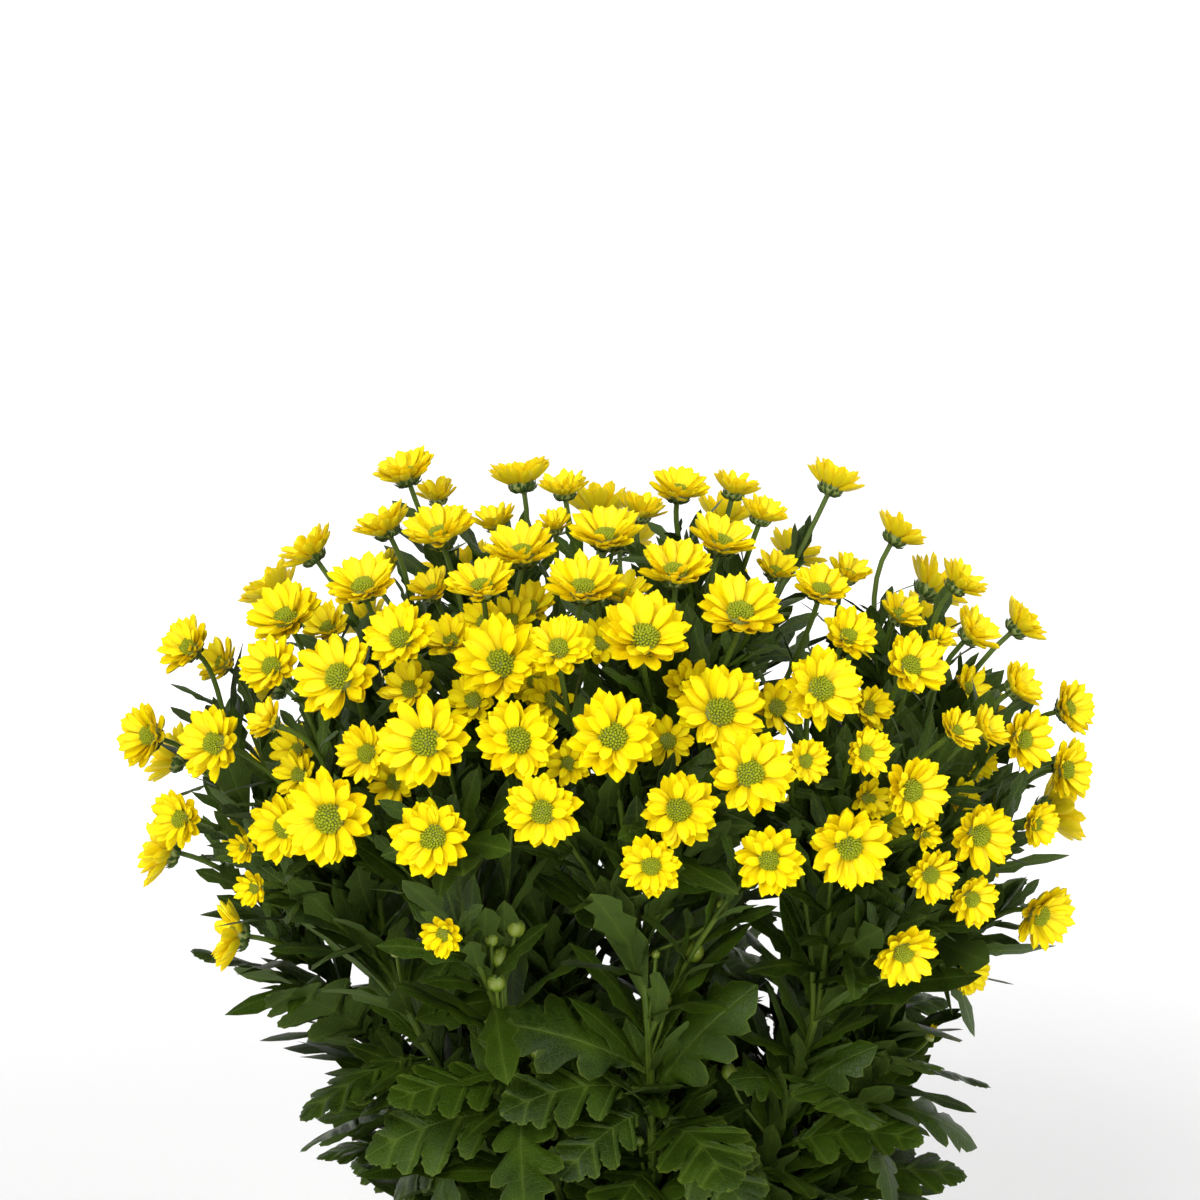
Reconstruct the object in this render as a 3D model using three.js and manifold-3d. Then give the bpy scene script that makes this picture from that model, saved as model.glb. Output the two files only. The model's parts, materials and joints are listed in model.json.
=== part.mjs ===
// Potted santini chrysanthemum: a clay pot of soil that carries a dome of yellow flower sprays.
// Millimetres, +Z up. The origin is the middle of the pot's underside, and -Y faces the viewer.
import * as THREE from "three";
import { mergeVertices } from "three/addons/utils/BufferGeometryUtils.js";
import Module from "manifold-3d";

const wasm = await Module();
wasm.setup();

const DEGREE = Math.PI / 180;
const UP = new THREE.Vector3(0, 0, 1);

// The pot and its soil.
const POT = {
  height: 130,
  rimRadius: 85,
  rimHeight: 26,
  rimStep: 3.5,
  footRadius: 58,
  wall: 5.5,
  floor: 7,
  bevel: 1.5,
  sides: 22,
  drainRadius: 5,
  drainRing: 28,
  drainCount: 3,
  drainSides: 12,
};
const SOIL = { belowRim: 12, swell: 4, gap: 0.35, sides: 16 };
const SOIL_TOP = POT.height - SOIL.belowRim;

// The main stems fan out of one point under the soil.
const FAN = { x: 10, y: 0, z: 30 };
const STEM = {
  count: 16,
  settleRounds: 12,
  footDepth: 26,
  footRadius: 2.7,
  topRadius: 2.2,
  sides: 6,
  branchShare: 0.6,
  holeGap: 0.35,
  holeLength: 52,
  seat: 0.35,
};

// The photograph's view: how far the eye looks down, and what one pixel covers at the plant.
const VIEW = {
  dip: 12,
  distance: 1500,
  mmPerPixel: 0.42,
  middlePixel: 600,
  axisPixel: 640,
  middleHeight: 425,
};

// The dome that the flower heads lie on, and the point that the outer heads turn away from.
const DOME = { x: -13, y: 0, z: 352, width: 196, depth: 168, height: 125, backHeight: 112 };
const DEEP_SHARE = 0.83;
const FACE_FROM = { x: -13, y: 0, z: 275 };

// Heads keep apart by their widths: the one behind steps back, and the one in front comes a little nearer.
const SPREAD = { closeness: 1.03, rounds: 80, backShare: 0.5, frontShare: 0.15, extra: 0.2 };

// Flower heads as read in the photograph: x and y of the middle, and the width, in its pixels.
const FACING = [
  [405, 470, 64], [439, 530, 74], [362, 583, 74], [284, 615, 76], [400, 637, 74], [186, 646, 64],
  [270, 665, 64], [337, 675, 87], [500, 662, 96], [145, 735, 69], [211, 743, 74], [424, 742, 94],
  [365, 753, 61], [517, 740, 87], [327, 819, 94], [178, 819, 60], [282, 828, 69], [432, 838, 83],
  [521, 549, 75], [606, 532, 75], [679, 487, 61], [676, 568, 79], [741, 609, 85], [481, 583, 71],
  [584, 584, 80], [559, 647, 68], [645, 634, 94], [722, 710, 92], [613, 736, 92], [542, 812, 75],
  [679, 810, 78], [751, 773, 86], [651, 866, 62], [770, 860, 71], [850, 848, 84], [1071, 709, 60],
  [1026, 739, 65], [1069, 770, 61], [1038, 824, 49], [1043, 917, 69], [970, 975, 44], [905, 955, 66],
  [973, 900, 55], [932, 876, 55], [981, 836, 72], [914, 791, 73], [867, 753, 52], [807, 761, 46],
  [823, 688, 80], [913, 665, 72], [850, 635, 59], [822, 587, 60],
];
const AWAY = [
  [383, 524, 64], [308, 549, 65], [521, 476, 69], [564, 487, 55], [735, 487, 55], [763, 513, 54],
  [722, 538, 71], [834, 481, 64], [899, 532, 61], [961, 581, 60], [1022, 624, 61], [975, 631, 61],
  [1019, 686, 57], [267, 720, 50], [958, 730, 50], [987, 728, 52],
];
const DEEP = [
  [437, 494, 50], [495, 520, 52], [327, 626, 55], [220, 661, 54], [450, 640, 60], [409, 688, 61],
  [472, 700, 60], [295, 750, 54], [297, 775, 54], [393, 782, 54], [641, 509, 60], [622, 592, 60],
  [531, 606, 55], [601, 642, 55], [689, 686, 60], [668, 741, 54], [551, 700, 58], [567, 764, 54],
  [535, 682, 60], [431, 589, 55], [484, 621, 55], [511, 619, 54], [870, 799, 50], [886, 823, 50],
  [778, 707, 60], [870, 708, 54], [776, 569, 50], [849, 572, 52], [901, 613, 54], [970, 688, 48],
  [977, 761, 46], [961, 799, 46],
];
const HALF_OPEN = [
  [243, 848, 38], [253, 888, 45], [443, 935, 52], [555, 524, 42], [926, 834, 38], [939, 638, 34],
];

// Narrower heads than this, in pixels, have at most this many petals to a layer.
const SMALL_HEAD = { width: 73, petals: 5 };

// How far a facing head looks up, in degrees, by its height in the photograph in pixels.
const LIFT_AT = [
  [440, 76], [530, 70], [585, 64], [610, 54], [637, 38], [700, 26], [760, 16], [860, 6], [960, -6],
];
const FACING_TURN_SHARE = 0.5;
const AIM_WOBBLE = 7;

// The heads round the back, where the photograph doesn't reach.
const BACK = {
  tries: 260,
  spacing: 41,
  width: 33,
  narrowest: 0.82,
  widest: 1.08,
  lowest: -0.55,
  nearest: -60,
  sunkenPart: 0.3,
  sunkenShare: 0.88,
  petals: 4,
};

// A head's shape, as shares of its radius. Each layer alternates tips and the notches between them.
const HEAD = {
  rise: 0.5,
  cup: { radius: 0.38, height: 0.2 },
  outer: { tip: [1, 0.66], notch: [0.7, 0.46] },
  inner: { tip: [0.8, 0.9], notch: [0.54, 0.66] },
  disc: { radius: 0.3, height: 0.5 },
  button: 0.58,
  spread: 0.07,
  halfOpen: {
    outer: { tip: [0.85, 1], notch: [0.6, 0.7] },
    inner: { tip: [0.55, 1.1], notch: [0.42, 0.8] },
  },
};
const STALK = {
  radius: 1.5,
  headRadius: 1.35,
  axisRadius: 2.1,
  sides: 3,
  leaveShare: 0.4,
  arriveShare: 0.26,
  turnToHead: 0.65,
  clearance: 3,
  headShare: 0.8,
  rounds: 30,
  give: 0.5,
  firstFork: 0.06,
  forkSpan: 0.56,
};

// Leaves: outline of one half, as shares of the length: along the rib, and out from it.
const LEAF_EDGE = [[0, 0.018], [0.2, 0.03], [0.4, 0.26], [0.47, 0.11], [0.74, 0.3], [0.74, 0.12]];
const LEAF_RIB = [0, 0.26, 0.6];
const LEAF = {
  rib: 0.9,
  fold: 0.16,
  arch: 0.2,
  lookOut: 0.9,
  mostDroop: -52,
  leastDroop: 6,
  footShare: 0.3,
  tries: 60,
  lowest: 0.24,
  highest: 0.94,
  shortest: 52,
  longest: 84,
  samples: [
    [0.1, [0]], [0.2, [0]], [0.3, [0, 0.1]], [0.4, [0, 0.13, 0.26]], [0.5, [0, 0.13, 0.22]],
    [0.6, [0, 0.13, 0.26]], [0.7, [0, 0.14, 0.29]], [0.8, [0, 0.13]], [0.9, [0]], [1, [0]],
  ],
  stemRoom: 7.5,
  stalkRoom: 8.5,
  headRoom: 8.5,
  leafRoom: 8.5,
  stemSteps: 24,
  stalkSteps: 10,
  spread: 100,
  leastArch: 0.7,
  mostArch: 1.5,
  potRoom: 4,
  nearerTries: [25, 10, 40, -5, 55, -20, 70, -40],
  rootSteps: 24,
  rootTries: 110,
  frontFirst: 0.12,
  shortestRead: 42,
  longestRead: 95,
};

// Leaves as read in the photograph, in its pixels: x and y of the tip, then of the foot.
const PHOTO_LEAVES = [
  [190, 951, 330, 950], [267, 995, 340, 955], [308, 1039, 400, 1015], [278, 921, 420, 900],
  [300, 1121, 425, 1066], [429, 1140, 470, 1050], [405, 1040, 500, 1050], [500, 1115, 620, 1100],
  [635, 1075, 650, 1000], [943, 1069, 850, 1075], [924, 1143, 740, 1145], [812, 1199, 725, 1162],
  [1028, 879, 930, 900], [861, 938, 775, 925], [850, 990, 743, 1035], [560, 1180, 610, 1120],
];

// Smaller leaves that fill the bush out between the others.
const FILL = {
  tries: 80,
  lowest: 0.2,
  highest: 0.97,
  shortest: 30,
  longest: 74,
  mostDroop: -62,
  leastDroop: 52,
  spread: 165,
  leastArch: 0.1,
  mostArch: 0.34,
  stemRoom: 4.5,
  stalkRoom: 5,
  headRoom: 4,
  leafRoom: 5.5,
  widest: 0.5,
  halfWidth: 0.2,
  seat: 2,
};

const COLOURS = { clay: 0xb0623c, soil: 0x2e2119, stem: 0x35501f, petal: 0xf5d400 };

// Draws in a range, always the same for one seed.
function seededDraws(seed) {
  const span = 4294967296;
  let state = (seed * 2654435761) % span;
  return (low, high) => {
    state = (state * 1664525 + 1013904223) % span;
    return low + ((high - low) * state) / span;
  };
}

function vector(x, y, z) {
  return new THREE.Vector3(x, y, z);
}

function along(a, b, share) {
  return a.clone().lerp(b, share);
}

// A value read off straight stretches between knots.
function readKnots(knots, at) {
  if (at <= knots[0][0]) return knots[0][1];
  for (let i = 1; i < knots.length; i++) {
    const [x0, y0] = knots[i - 1];
    const [x1, y1] = knots[i];
    if (at <= x1) return y0 + ((y1 - y0) * (at - x0)) / (x1 - x0);
  }
  return knots[knots.length - 1][1];
}

// The eye, and the line of sight through a pixel of the photograph.
const dip = VIEW.dip * DEGREE;
const SIGHT = vector(0, Math.cos(dip), -Math.sin(dip));
const SIGHT_UP = vector(0, Math.sin(dip), Math.cos(dip));
const AIM = vector((VIEW.middlePixel - VIEW.axisPixel) * VIEW.mmPerPixel, 0, VIEW.middleHeight);
const EYE = AIM.clone().addScaledVector(SIGHT, -VIEW.distance);

function sightThrough(x, y) {
  const perPixel = VIEW.mmPerPixel / VIEW.distance;
  return SIGHT.clone()
    .addScaledVector(vector(1, 0, 0), (x - VIEW.middlePixel) * perPixel)
    .addScaledVector(SIGHT_UP, (VIEW.middlePixel - y) * perPixel);
}

// How far along a line of sight the dome lies, its size scaled. Past its edge, where the line comes nearest.
function nearSideOfDome(ray, share) {
  const squash = (v) => vector(v.x / DOME.width, v.y / DOME.depth, v.z / DOME.height).divideScalar(share);
  const from = squash(EYE.clone().sub(vector(DOME.x, DOME.y, DOME.z)));
  const step = squash(ray);
  const a = step.dot(step);
  const b = from.dot(step);
  const c = from.dot(from) - 1;
  return (-b - Math.sqrt(Math.max(0, b * b - a * c))) / a;
}

// The direction that a head looks in, from its lift and its turn from the viewer to the right.
function faceDirection(lift, turn) {
  return vector(Math.sin(turn) * Math.cos(lift), -Math.cos(turn) * Math.cos(lift), Math.sin(lift));
}

function readHeads() {
  const heads = [];
  const lists = [
    { kind: "facing", list: FACING, share: 1, petals: 6 },
    { kind: "away", list: AWAY, share: 1, petals: 5 },
    { kind: "deep", list: DEEP, share: DEEP_SHARE, petals: 4 },
    { kind: "half", list: HALF_OPEN, share: 1, petals: 4 },
  ];
  for (const { kind, list, share, petals } of lists) {
    for (const [x, y, width] of list) {
      const ray = sightThrough(x, y);
      const depth = nearSideOfDome(ray, share);
      const fewest = width < SMALL_HEAD.width ? Math.min(petals, SMALL_HEAD.petals) : petals;
      heads.push({ kind, petals: fewest, ray, depth, pixelWidth: width, pixelY: y });
    }
  }
  spreadInDepth(heads);
  heads.forEach((head, index) => aimHead(head, index));
  return heads;
}

function placeAtDepth(head) {
  head.centre = EYE.clone().addScaledVector(head.ray, head.depth);
  head.radius = (head.pixelWidth * VIEW.mmPerPixel * head.depth) / VIEW.distance / 2;
}

// Heads that overlap in the photograph lie one behind the other.
function spreadInDepth(heads) {
  heads.forEach(placeAtDepth);
  for (let round = 0; round < SPREAD.rounds; round++) {
    for (let i = 0; i < heads.length; i++) {
      for (let j = i + 1; j < heads.length; j++) {
        const a = heads[i];
        const b = heads[j];
        const short = SPREAD.closeness * (a.radius + b.radius) - a.centre.distanceTo(b.centre);
        if (short <= 0) continue;
        const back = a.depth > b.depth ? a : b;
        const front = back === a ? b : a;
        back.depth += SPREAD.backShare * short + SPREAD.extra;
        front.depth -= SPREAD.frontShare * short;
        placeAtDepth(a);
        placeAtDepth(b);
      }
    }
  }
}

function aimHead(head, index) {
  const draw = seededDraws(index + 1);
  const out = head.centre.clone().sub(vector(FACE_FROM.x, FACE_FROM.y, FACE_FROM.z));
  const turn = Math.atan2(out.x, -out.y);
  const lift = Math.atan2(out.z, Math.hypot(out.x, out.y));
  const wobble = AIM_WOBBLE * DEGREE;
  const turned = head.kind === "away" || head.kind === "back";
  const aimedLift = turned ? lift : readKnots(LIFT_AT, head.pixelY) * DEGREE;
  const aimedTurn = turned ? turn : turn * FACING_TURN_SHARE;
  head.face = faceDirection(aimedLift + draw(-wobble, wobble), aimedTurn + draw(-wobble, wobble));
  head.base = head.centre.clone().addScaledVector(head.face, -HEAD.rise * head.radius);
}

// Heads round the back, on a spiral over the dome, wherever there is room.
function backHeads(front) {
  const heads = [];
  const golden = Math.PI * (3 - Math.sqrt(5));
  for (let i = 0; i < BACK.tries; i++) {
    const draw = seededDraws(500 + i);
    const up = 1 - ((1 - BACK.lowest) * (i + 0.5)) / BACK.tries;
    const ring = Math.sqrt(1 - up * up);
    const angle = i * golden;
    const depthShare = draw(0, 1) < BACK.sunkenPart ? BACK.sunkenShare : 1;
    const centre = vector(
      DOME.x + DOME.width * ring * Math.cos(angle) * depthShare,
      DOME.y + DOME.depth * ring * Math.sin(angle) * depthShare,
      DOME.z + DOME.backHeight * up * depthShare,
    );
    if (centre.y < BACK.nearest) continue;
    const near = front.concat(heads).some((other) => other.centre.distanceTo(centre) < BACK.spacing);
    if (near) continue;
    const radius = (BACK.width / 2) * draw(BACK.narrowest, BACK.widest);
    const head = { kind: "back", petals: BACK.petals, centre, radius };
    aimHead(head, 500 + i);
    heads.push(head);
  }
  return heads;
}

// The main stems: each runs straight from its foot in the soil to where its flower stalks start.
// Their directions settle under the middle of the heads that are nearest to them.
function mainStems(heads) {
  const fan = vector(FAN.x, FAN.y, FAN.z);
  for (const head of heads) {
    head.direction = head.base.clone().sub(fan).normalize();
  }
  let directions = [UP.clone()];
  while (directions.length < STEM.count) {
    const nearest = (head) => Math.max(...directions.map((direction) => direction.dot(head.direction)));
    directions.push(heads.reduce((best, head) => (nearest(head) < nearest(best) ? head : best)).direction);
  }
  let stems = [];
  for (let round = 0; round < STEM.settleRounds; round++) {
    stems = directions.map((direction) => ({ direction, heads: [] }));
    for (const head of heads) {
      nearestStem(stems, head).heads.push(head);
    }
    directions = stems.map((stem) =>
      stem.heads.reduce((sum, head) => sum.add(head.direction), vector(0, 0, 0)).normalize(),
    );
  }
  for (const stem of stems) {
    const slope = stem.direction.clone().divideScalar(stem.direction.z);
    stem.foot = fan.clone().addScaledVector(slope, SOIL_TOP - STEM.footDepth - fan.z);
    const length = STEM.branchShare * farSideOfDome(fan, stem.direction);
    stem.top = fan.clone().addScaledVector(stem.direction, length);
  }
  return stems;
}

function nearestStem(stems, head) {
  return stems.reduce((best, stem) =>
    stem.direction.dot(head.direction) > best.direction.dot(head.direction) ? stem : best,
  );
}

// How far the dome lies from an inner point in one direction.
function farSideOfDome(from, direction) {
  const squash = (v) => vector(v.x / DOME.width, v.y / DOME.depth, v.z / DOME.height);
  const start = squash(from.clone().sub(vector(DOME.x, DOME.y, DOME.z)));
  const step = squash(direction);
  const a = step.dot(step);
  const b = start.dot(step);
  const c = start.dot(start) - 1;
  return (-b + Math.sqrt(b * b - a * c)) / a;
}

// The flower stalks of one stem. Its axis runs on to the most central head, and the others leave it.
function growStalks(stem) {
  const offAxis = (head) => Math.acos(Math.min(1, stem.direction.dot(head.direction)));
  stem.heads.sort((a, b) => offAxis(a) - offAxis(b));
  const [leader, ...others] = stem.heads;
  const start = stem.top.clone().addScaledVector(stem.direction, STEM.seat);
  stem.leader = leader;
  leader.stalk = stalkCurve(start, stem.direction, leader);
  others.forEach((head, index) => {
    const share = STALK.firstFork + STALK.forkSpan * (1 - (index + 1) / others.length);
    const root = leader.stalk.getPoint(share);
    const toHead = head.base.clone().sub(root).normalize();
    const leave = leader.stalk.getTangent(share).lerp(toHead, STALK.turnToHead).normalize();
    head.rootShare = share;
    head.stalk = stalkCurve(root, leave, head);
  });
}

function stalkCurve(root, leave, head) {
  const length = root.distanceTo(head.base);
  const first = root.clone().addScaledVector(leave, STALK.leaveShare * length);
  const last = head.base.clone().addScaledVector(head.face, -STALK.arriveShare * length);
  return new THREE.CubicBezierCurve3(root, first, last, head.base.clone());
}

// Stalks bend clear of the heads that they would pass through, and of the stalks of other stems.
function clearStalks(stems) {
  const stalks = stems.flatMap((stem, owner) => stem.heads.map((head) => ({ head, owner })));
  const shares = [0.15, 0.3, 0.45, 0.6, 0.75, 0.88];
  for (let round = 0; round < STALK.rounds; round++) {
    const samples = stalks.map(({ head }) => shares.map((share) => head.stalk.getPoint(share)));
    stalks.forEach((stalk, i) => {
      shares.forEach((share, k) => {
        const point = samples[i][k];
        const push = vector(0, 0, 0);
        stalks.forEach((other, j) => {
          if (j === i) return;
          addPush(push, point, other.head.centre, STALK.headShare * other.head.radius + STALK.clearance);
          if (other.owner === stalk.owner) return;
          samples[j].forEach((beside) => addPush(push, point, beside, 2 * STALK.clearance));
        });
        const bent = share < 0.5 ? stalk.head.stalk.v1 : stalk.head.stalk.v2;
        bent.addScaledVector(push, STALK.give);
      });
    });
    stems.forEach(reseatStalks);
  }
}

function addPush(push, point, from, clearance) {
  const away = point.clone().sub(from);
  const distance = away.length();
  if (distance < clearance && distance > 0) push.addScaledVector(away, (clearance - distance) / distance);
}

// The roots of the side stalks stay on the axis when it bends.
function reseatStalks(stem) {
  for (const head of stem.heads) {
    if (head !== stem.leader) head.stalk.v0.copy(stem.leader.stalk.getPoint(head.rootShare));
  }
}

// A closed skin over rings of points, from the first ring to the last. Rings may differ in their count.
function skin(rings) {
  const points = rings.flat();
  const faces = [];
  let start = 0;
  closeEnd(faces, start, rings[0].length, true);
  for (let r = 0; r + 1 < rings.length; r++) {
    const next = start + rings[r].length;
    zip(faces, start, rings[r].length, next, rings[r + 1].length);
    start = next;
  }
  closeEnd(faces, start, rings[rings.length - 1].length, false);
  return shell(points, faces);
}

function closeEnd(faces, start, count, under) {
  for (let i = 1; i + 1 < count; i++) {
    faces.push(under ? [start, start + i + 1, start + i] : [start, start + i, start + i + 1]);
  }
}

function zip(faces, low, lowCount, high, highCount) {
  let i = 0;
  let j = 0;
  while (i < lowCount || j < highCount) {
    const stepLow = j >= highCount || (i < lowCount && (i + 1) / lowCount <= (j + 1) / highCount);
    const a = low + (i % lowCount);
    const b = high + (j % highCount);
    if (stepLow) {
      faces.push([a, low + ((i + 1) % lowCount), b]);
      i++;
    } else {
      faces.push([a, high + ((j + 1) % highCount), b]);
      j++;
    }
  }
}

// A closed surface as a solid that can be joined and cut.
function shell(points, faces) {
  return new wasm.Manifold(
    new wasm.Mesh({
      numProp: 3,
      vertProperties: new Float32Array(points.flatMap((point) => point.toArray())),
      triVerts: new Uint32Array(faces.flat()),
    }),
  );
}

function solidOf(geometry) {
  geometry.deleteAttribute("normal");
  geometry.deleteAttribute("uv");
  const merged = mergeVertices(geometry, 1e-4);
  return new wasm.Manifold(
    new wasm.Mesh({
      numProp: 3,
      vertProperties: merged.attributes.position.array,
      triVerts: new Uint32Array(merged.index.array),
    }),
  );
}

function joined(solids) {
  return solids.reduce((sum, solid) => sum.add(solid));
}

function meshOf(name, solid, colour, roughness) {
  const { vertProperties, triVerts } = solid.getMesh();
  const geometry = new THREE.BufferGeometry();
  geometry.setAttribute("position", new THREE.BufferAttribute(vertProperties, 3));
  geometry.setIndex(new THREE.BufferAttribute(triVerts, 1));
  geometry.computeVertexNormals();
  const material = new THREE.MeshStandardMaterial({ color: colour, roughness, metalness: 0 });
  const mesh = new THREE.Mesh(geometry, material);
  mesh.name = name;
  return mesh;
}

// A ring of points round a centre: one for each [radius, rise], evenly turned from the side direction on.
function ring(centre, axis, side, steps) {
  const across = axis.clone().cross(side);
  return steps.map(([radius, rise], i) => {
    const angle = (2 * Math.PI * i) / steps.length;
    return centre
      .clone()
      .addScaledVector(axis, rise)
      .addScaledVector(side, radius * Math.cos(angle))
      .addScaledVector(across, radius * Math.sin(angle));
  });
}

function evenRing(centre, axis, side, radius, count) {
  return ring(centre, axis, side, Array(count).fill([radius, 0]));
}

// The part of a direction that is square to an axis, at length one.
function squareTo(axis, direction) {
  return direction.clone().addScaledVector(axis, -direction.dot(axis)).normalize();
}

function sideOf(axis) {
  return squareTo(axis, Math.abs(axis.z) < 0.9 ? UP : vector(1, 0, 0));
}

// One flower: its stalk, the green cup, two layers of petals that alternate, and the domed disc.
function flower(head, index, isLeader) {
  const draw = seededDraws(2000 + index);
  const shares = stalkShares(head, isLeader);
  const radius = isLeader ? STALK.axisRadius : STALK.radius;
  let side = sideOf(head.stalk.getTangent(0));
  const rings = shares.map((share) => {
    const axis = head.stalk.getTangent(share);
    side = squareTo(axis, side);
    const thickness = radius + (STALK.headRadius - radius) * share;
    return evenRing(head.stalk.getPoint(share), axis, side, thickness, STALK.sides);
  });
  const axis = head.face;
  side = squareTo(axis, side);
  const size = head.radius;
  const count = head.petals;
  const varied = (share) => size * share * (1 + draw(-HEAD.spread, HEAD.spread));
  const layer = ({ tip, notch }, tipFirst) =>
    Array.from({ length: 2 * count }, (_, i) => {
      const [radius, rise] = (i % 2 === 0) === tipFirst ? tip : notch;
      return [varied(radius), varied(rise)];
    });
  const openness = head.kind === "half" ? HEAD.halfOpen : HEAD;
  const even = ({ radius, height }) => Array(count).fill([size * radius, size * height]);
  rings.push(ring(head.base, axis, side, even(HEAD.cup)));
  rings.push(ring(head.base, axis, side, layer(openness.outer, true)));
  rings.push(ring(head.base, axis, side, layer(openness.inner, false)));
  if (head.kind === "facing") {
    rings.push(ring(head.base, axis, side, even(HEAD.disc)));
  }
  rings.push([head.base.clone().addScaledVector(axis, size * HEAD.button)]);
  return skin(rings);
}

// Where along a stalk it bends, as shares of its length. Stalks that are seen least have the fewest.
function stalkShares(head, isLeader) {
  if (isLeader) return [0, 0.25, 0.5, 0.75];
  return head.kind === "facing" || head.kind === "away" ? [0, 0.5] : [0];
}

// A straight, slightly tapered stem, and the hole that takes its foot.
function stemSolid(stem, extra) {
  const side = sideOf(stem.direction);
  const end = (point, radius) => evenRing(point, stem.direction, side, radius + extra, STEM.sides);
  return skin([end(stem.foot, STEM.footRadius), end(stem.top, STEM.topRadius)]);
}

function stemHole(stem) {
  const side = sideOf(stem.direction);
  const corner = (STEM.footRadius + STEM.holeGap) / Math.cos(Math.PI / STEM.sides);
  const bottom = stem.foot.clone().addScaledVector(stem.direction, -STEM.seat);
  const mouth = stem.foot.clone().addScaledVector(stem.direction, STEM.holeLength);
  return skin([
    evenRing(bottom, stem.direction, side, corner, STEM.sides),
    evenRing(mouth, stem.direction, side, corner, STEM.sides),
  ]);
}

// A leaf: a rib that arches over to its tip, and a thin blade on each side with deep lobes.
function leafSolid(leaf) {
  const { length, frameAt } = leafFrames(leaf);
  const edge = (sign) =>
    LEAF_EDGE.map(([share, width]) => {
      const { at, side, normal } = frameAt(share);
      const out = width * length;
      return at.addScaledVector(side, sign * out).addScaledVector(normal, -LEAF.fold * out);
    });
  const spine = (rise) =>
    LEAF_RIB.map((share) => {
      const { at, normal } = frameAt(share);
      return at.addScaledVector(normal, rise);
    });
  const points = [...edge(-1), ...edge(1), ...spine(LEAF.rib), ...spine(-LEAF.rib), leaf.tip.clone()];
  const edges = LEAF_EDGE.length;
  const ribs = LEAF_RIB.length;
  const last = points.length - 1;
  const chain = (start, count, shares) => [
    ...Array.from({ length: count }, (_, i) => ({ index: start + i, share: shares[i] })),
    { index: last, share: 1 },
  ];
  const edgeShares = LEAF_EDGE.map(([share]) => share);
  const left = chain(0, edges, edgeShares);
  const right = chain(edges, edges, edgeShares);
  const above = chain(2 * edges, ribs, LEAF_RIB);
  const below = chain(2 * edges + ribs, ribs, LEAF_RIB);
  const faces = [];
  lace(faces, above, left, true);
  lace(faces, above, right, false);
  lace(faces, below, left, false);
  lace(faces, below, right, true);
  faces.push([edges, above[0].index, 0], [below[0].index, edges, 0]);
  return shell(points, faces);
}

// A smaller leaf: a kite folded over a raised middle.
function smallLeafSolid(leaf) {
  const { length, frameAt } = leafFrames(leaf);
  const { at, side, normal } = frameAt(FILL.widest);
  const width = FILL.halfWidth * length;
  const corner = (sign) =>
    at.clone().addScaledVector(side, sign * width).addScaledVector(normal, -LEAF.fold * width);
  const outward = leaf.tip.clone().sub(leaf.root).normalize();
  const foot = leaf.root.clone().addScaledVector(outward, -FILL.seat);
  const points = [foot, corner(1), leaf.tip.clone(), corner(-1), at];
  const above = [[0, 1, 4], [1, 2, 4], [2, 3, 4], [3, 0, 4]];
  const below = [[0, 3, 1], [2, 1, 3]];
  return shell(points, [...above, ...below]);
}

// Triangles between two chains of points that end in the same tip.
function lace(faces, a, b, flip) {
  let i = 0;
  let j = 0;
  while (i + 1 < a.length || j + 1 < b.length) {
    const stepA = j + 1 >= b.length || (i + 1 < a.length && a[i + 1].share <= b[j + 1].share);
    const third = stepA ? a[i + 1].index : b[j + 1].index;
    const face = [a[i].index, b[j].index, third];
    if (new Set(face).size === 3) faces.push(flip ? face.reverse() : face);
    if (stepA) i++;
    else j++;
  }
}

// A leaf's rib as an arch from root to tip, and the frame of its blade at a share of the rib.
// The blade looks up and a little outwards, away from the middle of the plant.
function leafFrames({ root, tip, arch }) {
  const length = root.distanceTo(tip);
  const middle = along(root, tip, 0.5).addScaledVector(UP, arch * length);
  const rib = new THREE.QuadraticBezierCurve3(root, middle, tip);
  const outward = vector(root.x, root.y, 0).normalize();
  const looking = UP.clone().addScaledVector(outward, LEAF.lookOut);
  const frameAt = (share) => {
    const forward = rib.getTangent(share);
    const side = forward.clone().cross(looking).normalize();
    return { at: rib.getPoint(share), side, normal: side.clone().cross(forward) };
  };
  return { length, frameAt };
}

// Points over a leaf's blade, for finding out what it would touch.
function bladeSamples(leaf) {
  const { length, frameAt } = leafFrames(leaf);
  const samples = [];
  for (const [share, widths] of LEAF.samples) {
    for (const width of [...widths, ...widths.slice(1).map((value) => -value)]) {
      const { at, side } = frameAt(share);
      at.addScaledVector(side, width * length);
      samples.push({ at, isFoot: share < LEAF.footShare });
    }
  }
  return samples;
}

// What a leaf has to keep clear of: stems, flower stalks and heads, each as points with the room they need.
function obstaclesOf(stems, { stemRoom, stalkRoom, headRoom }) {
  const obstacles = [];
  stems.forEach((stem, owner) => {
    for (let step = 0; step <= LEAF.stemSteps; step++) {
      const at = along(stem.foot, stem.top, step / LEAF.stemSteps);
      obstacles.push({ at, room: stemRoom, owner, isFoot: true });
    }
    for (const head of stem.heads) {
      for (let step = 0; step <= LEAF.stalkSteps; step++) {
        const at = head.stalk.getPoint(step / LEAF.stalkSteps);
        obstacles.push({ at, room: stalkRoom, owner: -1, isFoot: false });
      }
      obstacles.push({ at: head.centre, room: head.radius + headRoom, owner: -1, isFoot: false });
    }
  });
  return obstacles;
}

function isClear(samples, obstacles, owner) {
  return samples.every(({ at: point, isFoot }) => {
    const out = Math.hypot(point.x, point.y);
    const floor = out < POT.rimRadius + LEAF.potRoom ? POT.height + LEAF.potRoom : LEAF.potRoom;
    if (point.z < floor) return false;
    return obstacles.every((obstacle) => {
      const joins = obstacle.owner === owner && (isFoot || obstacle.isFoot);
      return joins || obstacle.at.distanceTo(point) > obstacle.room;
    });
  });
}

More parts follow.
